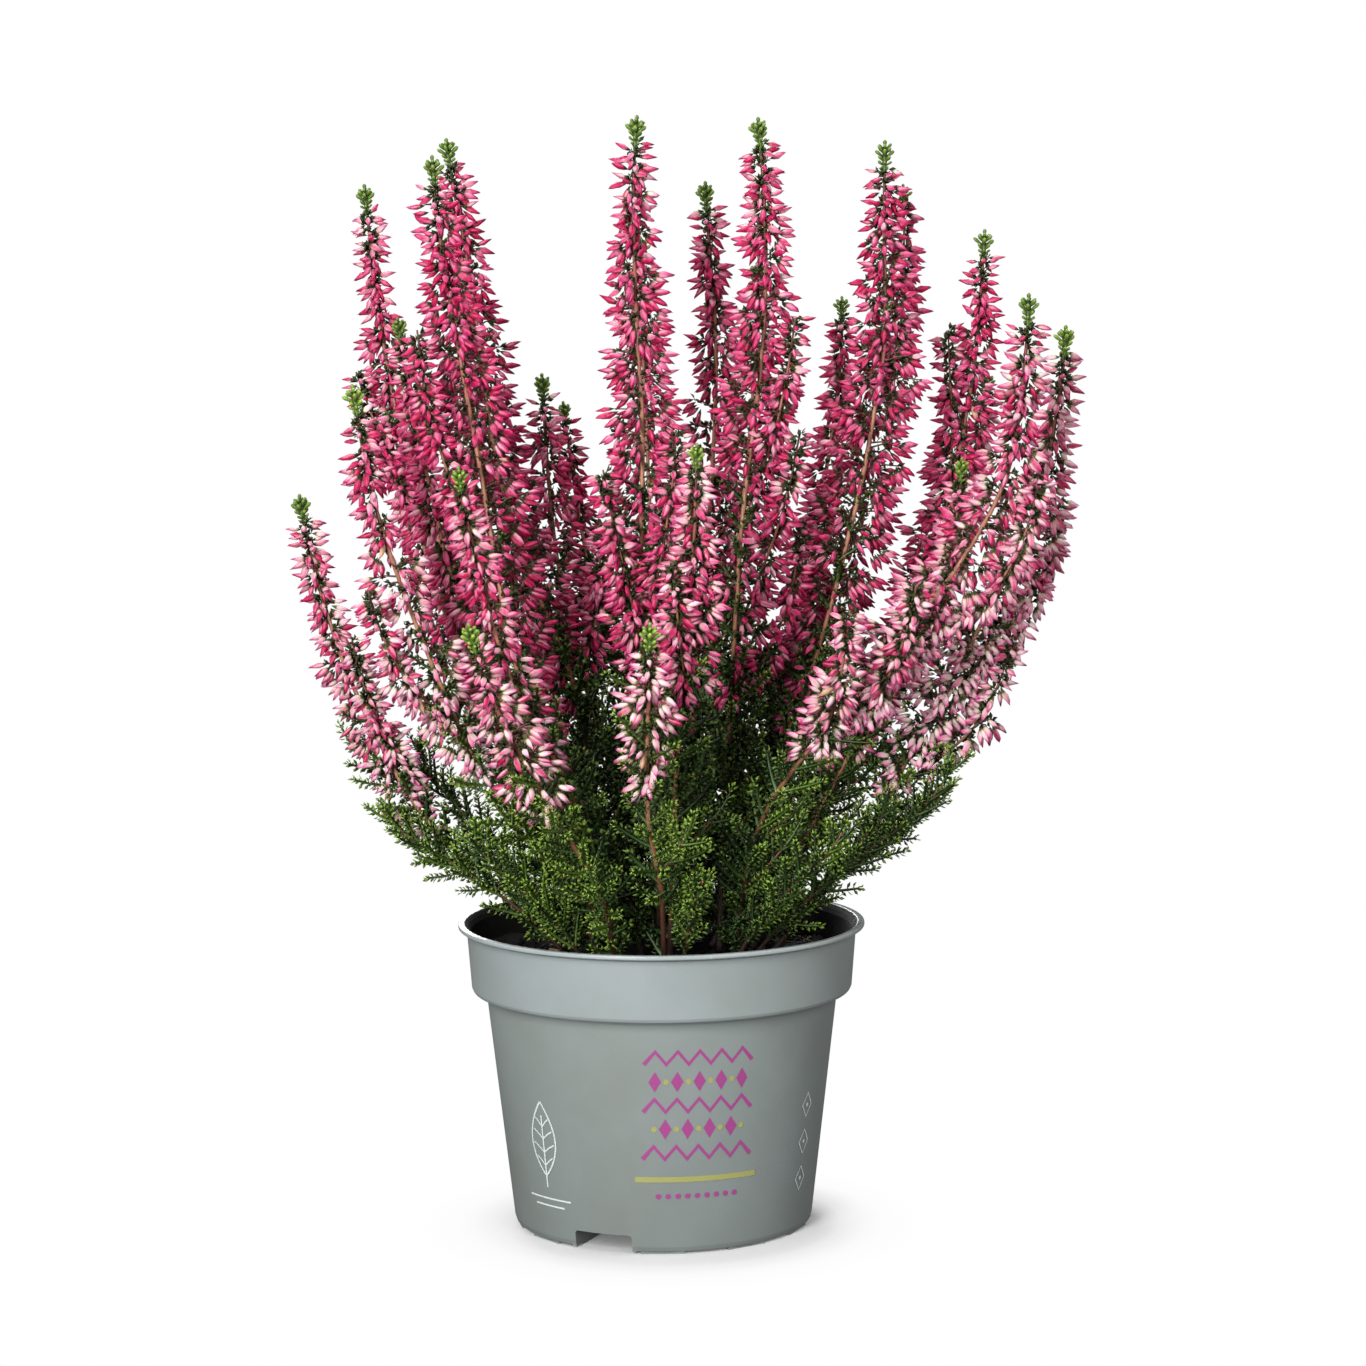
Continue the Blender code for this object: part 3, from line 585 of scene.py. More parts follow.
def add_bud(bag, at, direction, size, pale, rng, level):
    """One bud. at is where its stalk leaves the twig. Buds are cones high on a spike and grains low on it."""
    out = unit(direction)
    grain = rng.random() < (level - 0.25) * 2.2
    width = min(size * rng.uniform(0.180, 0.215) if grain else size * rng.uniform(0.205, 0.250), 1.2)
    form = int(rng.integers(2)) + (2 if grain else 0) + (0 if at[1] < 8.0 and rng.random() < 0.4 else 4)
    if rng.random() < 0.0015:
        pale = 1.5
    bag.buds[form].add(at + out * 0.24 * size, out, size, width, rng.uniform(0.82, 1.0), rng.uniform(0, TAU), rng.random(), pale, rng.normal(0, 0.06))


def add_cluster(bag, at, tangent, radial, reach, level, size, pale, rng, count=None, young=False):
    """A short side twig that ends in a dark leafy tuft with a fan of buds: the outer ones stand out, the inner ones hang down.
    level runs from 0 at the spike's top to 1 at its foot."""
    flat = max(0.5, reach - 1.12 * size)
    lift = rng.uniform(0.05, 0.40)
    way = unit(radial + tangent * lift)
    twig = flat * math.sqrt(1 + lift * lift)
    end = at + way * twig
    if twig > 1.2:
        mid = at + way * 0.55 * twig + tangent * 0.08 * twig
        bag.twigs.append((np.array((end, mid, at)), np.array((0.24, 0.30, 0.38)), 3, "bark", rng.random(), 0.65))
    n = count if count is not None else int(round(3.5 + 0.34 * flat + rng.uniform(-0.9, 0.9)))
    down = unit(-0.55 * tangent - np.array((0, 0, 0.45)))
    side = np.cross(radial, tangent)
    sway, droop = rng.normal(0, 12), rng.normal(0, 9)
    for k in range(n):
        q = 0.35 if n == 1 else k / (n - 1)
        start = end + down * (1.9 * q + rng.uniform(-0.3, 0.3)) - way * (0.35 * q * twig) + side * rng.uniform(-0.6, 0.6)
        spread = math.radians(sway + (1 if k % 2 else -1) * rng.uniform(2, 22 + 6 * level))
        fall = math.radians(-10 + 26 * level + (74 - 34 * level) * q + droop + rng.normal(0, 7))
        if young:
            fall = math.radians(rng.uniform(-30, 25))
        r = turned_about(radial, tangent, spread)
        d = r * math.cos(fall) + down * math.sin(fall)
        add_bud(bag, start, d, size * rng.uniform(0.84, 1.12), float(np.clip(pale + rng.normal(0, 0.15) - 0.24 * q * (1 - level), 0, 1)), rng, level)
    m = 2 if young else 6 + int(flat > 2.5)
    d = unit(radial[None] * rng.uniform(0.1, 1, (m, 1)) + tangent[None] * rng.uniform(-0.3, 1.2, (m, 1)) + rng.normal(0, 0.5, (m, 3)))
    bag.leaves.add(at + way * twig * rng.uniform(0.25, 1.0, (m, 1)), d, rng.uniform(1.6, 3.0, m), 0.60, 1.3, rng.uniform(0, TAU, m), rng.uniform(0.78, 1.0, m), rng.uniform(-0.15, 0.06, m))


def add_tip(bag, line, size, young, rng, tiers=6):
    """The green growing tip: crowded tiers of thick blunt arms that stand up and out, widest at a third of its height."""
    p, t = read_line(line, np.linspace(1.3, 10.0, 8) * size)
    bag.twigs.append((p, np.array((0.46, 0.58, 0.70, 0.76, 0.72, 0.64, 0.54, 0.44)) * size, 6, "leaf", 0.5, 0.3 * young))
    bag.clubs.add(p[0] + t[0] * 0.25 * size, t[0], 1.05 * size, 0.66 * size, 1.0, rng.uniform(0, TAU), rng.uniform(0, 0.5), young * 0.8)
    turn = rng.uniform(-0.3, 0.3)
    for k, (s, arm, thick) in enumerate(((2.6, 1.9, 0.58), (3.8, 2.7, 0.68), (5.0, 3.1, 0.70), (6.2, 2.4, 0.60), (7.4, 1.8, 0.48), (8.6, 1.4, 0.38))[:tiers]):
        p, t = read_line(line, [s * size])
        a, b = across(t[0], turn + 0.785 * (k % 2))
        for way in (a, -a, b, -b):
            reach = arm * size * rng.uniform(0.85, 1.15)
            d = unit(way + t[0] * rng.uniform(0.65, 1.05))
            start = p[0] + way * 0.40 * size
            bag.clubs.add(start + d * reach * 0.50, d, 0.56 * reach, thick * size * rng.uniform(0.88, 1.08), 0.9, rng.uniform(0, TAU), rng.uniform(0, 0.55), young * rng.uniform(0.75, 1.2))
    add_scales(bag, line, 9.0 * size, 13.5 * size, young * 0.25, rng, 0.8)


def add_scales(bag, line, near, far, young, rng, step=0.95, length=1.7, spread=0.42):
    """Scale leaves close against a stem, in crossed pairs."""
    for k, s in enumerate(np.arange(near, far, step)):
        p, t = read_line(line, [s])
        a, b = across(t[0], 0.2)
        for way in (a, -a) if k % 2 == 0 else (b, -b):
            d = unit(way * spread + t[0])
            bag.leaves.add(p[0] + way * 0.42, d, length * rng.uniform(0.85, 1.1), 0.34, 1.8, rng.uniform(0, TAU), rng.uniform(0.2, 0.8), young * rng.uniform(0.8, 1.2))


def add_sprig(bag, at, direction, length, young, rng, curl=0.35, tone=0.0, rough=False):
    """A leafy side shoot: a thin axis with crossed pairs of plump scale leaves, bright at its blunt tip.
    A rough one, for the dark inside of the plant, has fewer and larger leaves."""
    step, leaf, half = (1.25, 3.0, 0.72) if rough else (0.84, 2.62, 0.49)
    d = unit(direction)
    side = unit(np.cross(d, np.array((0, 0, 1.0))) + 1e-6)
    bend = unit(np.cross(side, d)) * curl * rng.uniform(0.3, 1.4) + side * rng.normal(0, 0.16)
    n = 4
    ts = np.linspace(1, 0, n)
    line = at + d[None] * length * ts[:, None] + bend[None] * length * (ts**2)[:, None] * 0.5
    bag.twigs.append((line, np.linspace(0.40, 0.62, n) * (1.5 if rough else 1.0), 3, "leaf", rng.uniform(0.4, 0.8), tone * 0.5))
    count = max(6, int(length / step))
    along = lengths(line)
    s = np.linspace(0.0, 0.96, count) * along[-1]
    p = np.stack([np.interp(s, along, line[:, k]) for k in range(3)], 1)
    t = unit(d[None] + bend[None] * (1 - s / along[-1])[:, None])
    a = unit(side[None] - t * (t @ side)[:, None])
    b = np.cross(t, a)
    roll = rng.uniform(0.5, 1.1)
    a, b = a * math.cos(roll) + b * math.sin(roll), b * math.cos(roll) - a * math.sin(roll)
    way = np.where((np.arange(count) % 2 == 0)[:, None], a, b)
    from_tip = s / s[-1]
    mm = s
    size = leaf * (0.72 + 0.28 * np.minimum(1, mm / 2.5)) * (1.0 - 0.20 * from_tip)
    bright = young * (np.clip(1 - mm / 6.5, 0, 1) * 0.88 + 0.12 * (1 - from_tip)) + tone
    close = (0.66 + 1.5 * np.clip(1 - mm / 1.8, 0, 1))[:, None]
    for sign in (1.0, -1.0):
        out = unit(sign * way + t * close + rng.normal(0, 0.09, (count, 3)))
        bag.leaves.add(p + sign * way * 0.15, out, size * rng.uniform(0.88, 1.14, count), half, 1.5, rng.uniform(0, TAU, count), rng.random(count), np.clip(bright + rng.normal(0, 0.07, count), -0.2, 1.2))


def grow_flowers(bag, line, near, far, widest, pale, rng, turn, top_size=4.9, low_size=4.9, gap=(5.8, 6.6), thin=0.04, least=5.2, show=1.0):
    """Fans of buds, left and right in turn, down a flowering stem, ragged in reach and colour. show says how bare its front is left."""
    s, k = near, 0
    wave = rng.uniform(0, TAU, 6)
    pace = rng.uniform(16.0, 30.0, 6)
    while s < far:
        level = (s - near) / max(far - near, 1e-6)
        full = max(least, 1.02 * spike_half_width(widest, level))
        size = top_size + (low_size - top_size) * min(1.0, level / 0.5)
        shade = pale[0] + (pale[1] - pale[0]) * level + 0.20 * max(0.0, 1 - (s - near) / 22.0) - 0.08 * math.sin(math.pi * level)
        shade += 0.10 * math.sin(TAU * s / pace[4] + wave[4])
        young = s - near < 5.0
        hop = (gap[0] + (gap[1] - gap[0]) * min(1.0, level * 2)) * (0.62 if young else 1.0)
        side = 1 if k % 2 == 0 else -1
        crossing = level < 0.25 or rng.random() < 0.30
        # azimuths from the viewer's side, to the right
        whorl = [(90, 1.0, 0.0, None), (-90, 1.0, 0.5 + rng.uniform(-0.2, 0.2), None)]
        whorl.append((side * (rng.uniform(-5, 40) if crossing else rng.uniform(26, 58)) * show, 0.80, 0.25, int(rng.integers(2, 5))))
        whorl.append((-side * rng.uniform(32, 66) * show, 0.82, 0.75, int(rng.integers(2, 4))))
        whorl.append((180 - side * rng.uniform(0, 35), 0.92, 0.35, None))
        for j, (azimuth, share, later, count) in enumerate(whorl):
            at = s + later * hop + rng.uniform(-0.7, 0.7)
            p, t = read_line(line, [at])
            a, b = across(t[0], turn)
            angle = math.radians(azimuth + rng.normal(0, 11))
            way = a * math.sin(angle) - b * math.cos(angle)
            hidden = p[0][2] < 225 and float(way @ outwards(p[0])) < -0.25 and math.hypot(p[0][0], p[0][1]) < 38
            if rng.random() < max(thin, 0.5 if hidden else 0.0):
                continue
            if young:
                count = 1 if j > 1 else 2
            ragged = 1.0 + 0.12 * math.sin(TAU * at / pace[j % 4] + wave[j % 4]) + rng.uniform(-0.09, 0.09)
            tuft = level > 0.15 and rng.random() < 0.10
            add_cluster(bag, p[0] + way * 0.35, t[0], way, full * share * ragged * (1.15 if tuft else 1.0), level, size * (0.86 if young else 1.0), shade, rng, count, young and share == 1.0)
        s += hop * rng.uniform(0.9, 1.1)
        k += 1


def add_branch(bag, at, direction, length, young, rng, fresh_and_painted_light_share=0.0, longest=12.0, rough=False):
    """A thin woody branch that carries leafy shoots in crossed pairs and ends in one."""
    d = unit(direction)
    up = np.array((0, 0, 1.0)) - d * d[2]
    bend = unit(up) * rng.uniform(0.15, 0.5) + unit(np.cross(up, d)) * rng.normal(0, 0.15)
    ts = np.linspace(1, 0, 6)
    line = at + d * length * ts[:, None] + bend * length * (ts**2)[:, None] * 0.5
    bag.twigs.append((line, np.linspace(0.26, 0.42, 6), 4, "bark", rng.random(), 0.45))
    end, way = read_line(line, [0.5])
    # A branch with the bright young-green tone: partly fresh growth, partly painted light on the plant's lit side
    tone = rng.uniform(0.30, 0.60) if rng.random() < fresh_and_painted_light_share else rng.uniform(0.0, 0.16)
    add_sprig(bag, end[0], way[0], longest * 0.8, young, rng, tone=tone, rough=rough)
    turn = rng.uniform(0, TAU)
    for k, s in enumerate(np.arange(3.0, length * 0.93, 4.6)):
        p, t = read_line(line, [s])
        a, b = across(t[0], turn) if abs(t[0][0]) < 0.95 else (unit(np.cross(t[0], (0, 0, 1.0))), unit(np.cross(t[0], (0, 1.0, 0))))
        for side in (a, -a) if k % 2 == 0 else (b, -b):
            reach = longest * (0.60 + 0.40 * min(1.0, s / 14.0)) * rng.uniform(0.75, 1.1)
            add_sprig(bag, p[0], side + t[0] * rng.uniform(0.8, 1.3), reach, young * rng.uniform(0.6, 1.0), rng, tone=tone * rng.uniform(0.3, 1.0), rough=rough)


def grow_leaves(bag, line, near, far, rng, young, step=4.8, longest=14.0, fresh_and_painted_light_share=0.0):
    """Leafy side shoots in crossed pairs on the lower part of a stem; rough ones where they point into the plant."""
    turn = rng.uniform(0, TAU)
    for k, s in enumerate(np.arange(near, far, step)):
        p, t = read_line(line, [s])
        a, b = across(t[0], turn + 0.35 * k)
        for way in (a, -a) if k % 2 == 0 else (b, -b):
            out = float(way @ outwards(p[0]))
            rough = out < -0.15 or math.hypot(p[0][0], p[0][1]) < 14
            low = float(np.clip((p[0][2] - SOIL_TOP) / 20.0, 0.55, 1.0))
            length = longest * (0.72 + 0.28 * max(0.0, out)) * rng.uniform(0.75, 1.15) * low
            # Sprigs that point out on the lit side more often take the bright young green: partly fresh growth, partly
            # painted light
            tone = rng.uniform(0.35, 0.75) if rng.random() < fresh_and_painted_light_share * max(0.0, 0.4 + out) else rng.uniform(-0.04, 0.12) + 0.10 * max(0.0, out)
            add_sprig(bag, p[0], way + t[0] * rng.uniform(0.5, 1.1), length, young * rng.uniform(0.6, 1.0) * (0.5 if rough else 1.0), rng, tone=tone, rough=rough)


def grow_thicket(bag, line, low, high, count, rng):
    """Old dark leafy twigs that fill the inside of the plant between two heights."""
    along = lengths(line)
    for k in range(count):
        z = low + (high - low) * (k + rng.uniform(0, 1)) / count
        s = float(np.interp(-z, -line[:, 2], along))
        p = read_line(line, [s])[0][0]
        if math.hypot(p[0], p[1]) > 30 + 0.25 * (z - SOIL_TOP):
            continue
        a = rng.uniform(0, TAU)
        d = unit(np.array((math.cos(a), math.sin(a), rng.uniform(0.1, 1.3))))
        add_sprig(bag, p, d, rng.uniform(9.0, 15.0) * (0.6 if z < 90 else 1.0), 0.0, rng, tone=-0.2, rough=True)


def grow_inner_branches(bag, line, low, high, count, rng):
    """Dark leafy branches that close the gaps between the middle stems."""
    along = lengths(line)
    for k in range(count):
        z = low + (high - low) * (k + rng.uniform(0, 1)) / count
        s = float(np.interp(-z, -line[:, 2], along))
        p, t = read_line(line, [s])
        a = (1 if k % 2 else -1) * rng.uniform(0.25, 0.75) * math.pi
        d = np.array((math.sin(a), -math.cos(a), rng.uniform(0.7, 1.4)))
        add_branch(bag, p[0], d, rng.uniform(13.0, 20.0), 0.15, rng, longest=11.0, rough=True)


def grow_branches(bag, line, low, high, count, rng, young, fresh_and_painted_light_share=0.0):
    """Leafy branches on a stem between two heights, turned away from the plant's middle."""
    along = lengths(line)
    for k in range(count):
        z = low + (high - low) * (k + rng.uniform(0.1, 0.9)) / count
        s = float(np.interp(-z, -line[:, 2], along))
        p, t = read_line(line, [s])
        out = turned_about(outwards(p[0]), np.array((0, 0, 1.0)), rng.uniform(-1.25, 1.25))
        add_branch(bag, p[0], out * rng.uniform(0.7, 1.1) + t[0] * rng.uniform(0.6, 1.0), rng.uniform(14.0, 22.0), young, rng, fresh_and_painted_light_share)


# ---------------------------------------------------------------- materials
def nodes_of(name):
    mat = bpy.data.materials.new(name)
    mat.use_nodes = True
    tree = mat.node_tree
    shader = tree.nodes["Principled BSDF"]
    return mat, tree, shader


def srgb(r, g, b):
    return tuple((c / 255 / 12.92 if c <= 10 else ((c / 255 + 0.055) / 1.055) ** 2.4) for c in (r, g, b)) + (1.0,)


def value(tree, key):
    n = tree.nodes.new("ShaderNodeAttribute")
    n.attribute_name = key
    return n.outputs["Fac"]


def ramp(tree, fac, stops):
    n = tree.nodes.new("ShaderNodeValToRGB")
    els = n.color_ramp.elements
    while len(els) < len(stops):
        els.new(0.5)
    for el, (at, colour) in zip(els, stops):
        el.position = at
        el.color = colour
    tree.links.new(fac, n.inputs["Fac"])
    return n.outputs["Color"]


def mix(tree, fac, one, two, blend="MIX"):
    n = tree.nodes.new("ShaderNodeMix")
    n.data_type = "RGBA"
    n.blend_type = blend
    for sock, v in ((n.inputs[0], fac), (n.inputs[6], one), (n.inputs[7], two)):
        if isinstance(v, (float, int)):
            sock.default_value = v
        elif isinstance(v, tuple):
            sock.default_value = v
        else:
            tree.links.new(v, sock)
    return n.outputs[2]


def sums(tree, op, a, b=None, clamp=False):
    n = tree.nodes.new("ShaderNodeMath")
    n.operation = op
    n.use_clamp = clamp
    for sock, v in zip(n.inputs, (a, b)):
        if v is None:
            continue
        if isinstance(v, (float, int)):
            sock.default_value = v
        else:
            tree.links.new(v, sock)
    return n.outputs[0]


def noise(tree, scale, detail=3.0, rough=0.5, stretch=None):
    coords = tree.nodes.new("ShaderNodeTexCoord")
    out = coords.outputs["Object"]
    if stretch:
        m = tree.nodes.new("ShaderNodeMapping")
        m.inputs["Scale"].default_value = stretch
        tree.links.new(out, m.inputs["Vector"])
        out = m.outputs["Vector"]
    n = tree.nodes.new("ShaderNodeTexNoise")
    n.inputs["Scale"].default_value = scale
    n.inputs["Detail"].default_value = detail
    n.inputs["Roughness"].default_value = rough
    tree.links.new(out, n.inputs["Vector"])
    return n.outputs["Fac"]


def bump(tree, shader, height, strength, distance):
    n = tree.nodes.new("ShaderNodeBump")
    n.inputs["Strength"].default_value = strength
    n.inputs["Distance"].default_value = distance
    tree.links.new(height, n.inputs["Height"])
    tree.links.new(n.outputs["Normal"], shader.inputs["Normal"])


def petal_material():
    mat, tree, sh = nodes_of("heather_petal")
    along, ridge, chance, tone = (value(tree, k) for k in ("grow_along", "grow_ridge", "grow_chance", "grow_tone"))
    deep = ramp(tree, along, ((0.0, srgb(40, 44, 22)), (0.05, srgb(50, 44, 26)), (0.10, srgb(138, 26, 60)), (0.30, srgb(164, 14, 62)), (0.70, srgb(170, 20, 78)), (0.92, srgb(138, 16, 60)), (1.0, srgb(106, 14, 48))))
    pink = ramp(tree, along, ((0.0, srgb(50, 54, 28)), (0.05, srgb(64, 58, 36)), (0.10, srgb(210, 128, 156)), (0.25, srgb(222, 134, 168)), (0.55, srgb(208, 92, 140)), (0.82, srgb(186, 46, 100)), (1.0, srgb(140, 30, 78))))
    pale = ramp(tree, along, ((0.0, srgb(68, 80, 40)), (0.05, srgb(88, 92, 52)), (0.11, srgb(190, 176, 152)), (0.25, srgb(216, 198, 188)), (0.58, srgb(218, 170, 184)), (0.84, srgb(206, 100, 148)), (1.0, srgb(168, 48, 98))))
    streak = noise(tree, 700.0, 2.0, 0.6)
    # The sepals' middles, where grow_ridge is 1, are lighter and the creases between them deeper: partly the buds' own
    # colour, partly painted highlight and painted shade
    light = sums(tree, "ADD", sums(tree, "MULTIPLY", ridge, 0.52), sums(tree, "MULTIPLY", sums(tree, "SUBTRACT", streak, 0.5), 1.5))
    light = sums(tree, "ADD", light, sums(tree, "MULTIPLY", sums(tree, "SUBTRACT", chance, 0.50), 0.85))
    light = sums(tree, "ADD", light, sums(tree, "MULTIPLY", tone, 0.45), clamp=True)
    body = mix(tree, light, deep, pink)
    # The sepals' middles also turn paler: partly their own colour, partly a painted highlight
    much = sums(tree, "ADD", sums(tree, "MULTIPLY", tone, 1.15), sums(tree, "MULTIPLY", ridge, 0.34))
    much = sums(tree, "ADD", much, sums(tree, "MULTIPLY", sums(tree, "SUBTRACT", chance, 0.5), 0.5))
    much = sums(tree, "MULTIPLY", sums(tree, "SUBTRACT", much, 0.55), 1.5, clamp=True)
    body = mix(tree, much, body, pale)
    withered = sums(tree, "MULTIPLY", sums(tree, "SUBTRACT", tone, 1.2), 10.0, clamp=True)
    body = mix(tree, withered, body, srgb(190, 150, 122))
    tree.links.new(body, sh.inputs["Base Color"])
    sh.inputs["Roughness"].default_value = 0.45
    sh.inputs["Specular IOR Level"].default_value = 0.30
    return mat


def leaf_material():
    mat, tree, sh = nodes_of("heather_leaf_green")
    along, chance, tone = (value(tree, k) for k in ("grow_along", "grow_chance", "grow_tone"))
    old = ramp(tree, along, ((0.0, srgb(20, 33, 13)), (0.5, srgb(43, 66, 30)), (1.0, srgb(74, 100, 52))))
    young = ramp(tree, along, ((0.0, srgb(96, 126, 42)), (0.5, srgb(120, 150, 56)), (1.0, srgb(144, 170, 74))))
    body = mix(tree, sums(tree, "MULTIPLY", tone, 1.0, clamp=True), old, young)
    dark = sums(tree, "MULTIPLY", sums(tree, "SUBTRACT", chance, 0.60), 2.0, clamp=True)
    dark = sums(tree, "MULTIPLY", dark, sums(tree, "SUBTRACT", 1.0, tone, clamp=True), clamp=True)
    body = mix(tree, dark, body, srgb(50, 41, 27))
    tree.links.new(body, sh.inputs["Base Color"])
    sh.inputs["Roughness"].default_value = 0.42
    sh.inputs["Specular IOR Level"].default_value = 0.3
    return mat


def bark_material():
    mat, tree, sh = nodes_of("heather_bark")
    along = value(tree, "grow_along")
    tone = value(tree, "grow_tone")
    base = ramp(tree, along, ((0.0, srgb(92, 84, 44)), (0.07, srgb(112, 50, 46)), (0.20, srgb(150, 92, 74)), (0.42, srgb(176, 126, 98)), (0.64, srgb(140, 88, 60)), (0.80, srgb(86, 50, 33)), (1.0, srgb(38, 25, 18))))
    grain = noise(tree, 60.0, 5.0, 0.65, (14.0, 14.0, 1.6))
    fleck = ramp(tree, grain, ((0.30, (0.35, 0.30, 0.28, 1)), (0.50, (0.95, 0.95, 0.95, 1)), (0.72, (1.25, 1.15, 1.08, 1))))
    body = mix(tree, 1.0, base, fleck, "MULTIPLY")
    body = mix(tree, sums(tree, "MULTIPLY", tone, 1.0, clamp=True), body, srgb(62, 40, 24))
    tree.links.new(body, sh.inputs["Base Color"])
    sh.inputs["Roughness"].default_value = 0.6
    bump(tree, sh, grain, 0.5, 0.0004)
    return mat


def pot_material():
    mat, tree, sh = nodes_of("pot_moulded_plastic")
    cloud = noise(tree, 22.0, 4.0, 0.6)
    body = ramp(tree, cloud, ((0.30, srgb(126, 132, 128)), (0.52, srgb(131, 139, 137)), (0.75, srgb(137, 145, 146))))
    # Painted shade and light: the body is darker towards its foot, and the band above it lighter and a little bluer, as
    # the light falls on them
    up = tree.nodes.new("ShaderNodeTexCoord")
    part = tree.nodes.new("ShaderNodeSeparateXYZ")
    tree.links.new(up.outputs["Object"], part.inputs["Vector"])
    shade = ramp(tree, sums(tree, "MULTIPLY", part.outputs["Z"], 11.0), ((0.0, (0.74, 0.74, 0.73, 1)), (0.35, (0.82, 0.82, 0.81, 1)), (0.745, (0.92, 0.92, 0.91, 1)), (0.772, (1.08, 1.08, 1.10, 1))))
    body = mix(tree, 1.0, body, shade, "MULTIPLY")
    speck = noise(tree, 900.0, 2.0, 0.7)
    dust = ramp(tree, speck, ((0.64, (0, 0, 0, 1)), (0.74, (1, 1, 1, 1))))
    # dust and rubbing collect on the lip as light specks; the lip's outer top is also lightened, a painted highlight,
    # and the mouth's inner edge darkened, a painted shade
    geo = tree.nodes.new("ShaderNodeTexCoord")
    sep = tree.nodes.new("ShaderNodeSeparateXYZ")
    tree.links.new(geo.outputs["Object"], sep.inputs["Vector"])
    high = ramp(tree, sums(tree, "MULTIPLY", sums(tree, "SUBTRACT", sep.outputs["Z"], 0.0874), 1200.0), ((0.0, (0, 0, 0, 1)), (1.0, (1, 1, 1, 1))))
    square = sums(tree, "ADD", sums(tree, "MULTIPLY", sep.outputs["X"], sep.outputs["X"]), sums(tree, "MULTIPLY", sep.outputs["Y"], sep.outputs["Y"]))
    edge = sums(tree, "MULTIPLY", sums(tree, "SUBTRACT", square, 0.003475), 12000.0, clamp=True)
    ring = sums(tree, "MULTIPLY", high, sums(tree, "SUBTRACT", 1.0, edge, clamp=True))
    # painted shade: the mouth's inner edge is darkened
    body = mix(tree, sums(tree, "MULTIPLY", ring, 0.5), body, srgb(88, 95, 93))
    high = sums(tree, "MULTIPLY", high, edge)
    worn = sums(tree, "MULTIPLY", dust, sums(tree, "ADD", sums(tree, "MULTIPLY", high, 0.36), 0.04))
    body = mix(tree, worn, body, srgb(206, 210, 206))
    # painted highlight: the outer top of the lip is lightened
    lift = sums(tree, "MULTIPLY", high, 0.08)
    body = mix(tree, lift, body, srgb(176, 184, 180))
    tree.links.new(body, sh.inputs["Base Color"])
    rough = ramp(tree, noise(tree, 260.0, 3.0, 0.6), ((0.3, (0.34, 0.34, 0.34, 1)), (0.75, (0.46, 0.46, 0.46, 1))))
    tree.links.new(rough, sh.inputs["Roughness"])
    fine = noise(tree, 2600.0, 2.0, 0.5)
    bump(tree, sh, fine, 0.10, 0.0002)
    return mat


def pot_inside_material():
    mat, tree, sh = nodes_of("pot_inside_painted_shade")
    # painted shade: the inside wall is coloured near-black, as it lies in shade
    n = noise(tree, 160.0, 5.0, 0.7)
    tree.links.new(ramp(tree, n, ((0.35, srgb(11, 11, 10)), (0.62, srgb(20, 20, 18)), (0.85, srgb(50, 51, 48)))), sh.inputs["Base Color"])
    sh.inputs["Roughness"].default_value = 0.85
    return mat


def soil_material():
    mat, tree, sh = nodes_of("peat")
    n = noise(tree, 420.0, 6.0, 0.7)
    body = ramp(tree, n, ((0.30, srgb(6, 5, 4)), (0.55, srgb(13, 10, 8)), (0.80, srgb(36, 27, 20))))
    tree.links.new(body, sh.inputs["Base Color"])
    sh.inputs["Roughness"].default_value = 0.95
    sh.inputs["Specular IOR Level"].default_value = 0.15
    bump(tree, sh, noise(tree, 1500.0, 4.0, 0.7), 0.6, 0.0006)
    return mat


def plain_material(name, colour, other, scale, rough):
    mat, tree, sh = nodes_of(name)
    n = noise(tree, scale, 4.0, 0.6)
    tree.links.new(ramp(tree, n, ((0.35, colour), (0.70, other))), sh.inputs["Base Color"])
    sh.inputs["Roughness"].default_value = rough
    return mat


PETAL = petal_material()
LEAVES = leaf_material()
BARK = bark_material()
POT = pot_material()
POT_INSIDE = pot_inside_material()
PEAT = soil_material()
STRAW = plain_material("soil_straw", srgb(150, 124, 84), srgb(96, 72, 46), 500.0, 0.8)
PERLITE = plain_material("perlite", srgb(226, 224, 216), srgb(190, 186, 176), 900.0, 0.8)
PRINT_PINK = plain_material("print_magenta", srgb(150, 52, 120), srgb(134, 66, 120), 1400.0, 0.5)
PRINT_YELLOW = plain_material("print_yellow", srgb(150, 148, 80), srgb(140, 142, 92), 1400.0, 0.5)
PRINT_WHITE = plain_material("print_white", srgb(206, 212, 208), srgb(186, 194, 190), 1400.0, 0.5)

# ---------------------------------------------------------------- the plant
AXES = plant_axes()
SPECS = SPIKES + SHORT_SPIKES
PLANT_MATERIALS = [PETAL, LEAVES, BARK]
SLOTS = {"petal": 0, "leaf": 1, "bark": 2}
totals = {}
COUNTS = {}


def finish_piece(bag, name, replaced, extra=None):
    soup = Soup()
    cells = Cells(bag.copies() + len(bag.twigs) + (len(extra) if extra else 0))
    bag.write(soup, cells, SLOTS)
    for key, crops in (("buds", bag.buds), ("leaves", [bag.leaves]), ("knobs", [bag.knobs, bag.clubs])):
        COUNTS[key] = COUNTS.get(key, 0) + sum(len(c.table()) for c in crops)
    COUNTS["twigs"] = COUNTS.get("twigs", 0) + len(bag.twigs)
    for args in extra or ():
        tube(soup, *args[:4], cells, *args[4:])
    ob = soup.make(name, PLANT_MATERIALS)
    if replaced:
        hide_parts(*replaced)
    totals[name] = soup.triangles()
    return ob


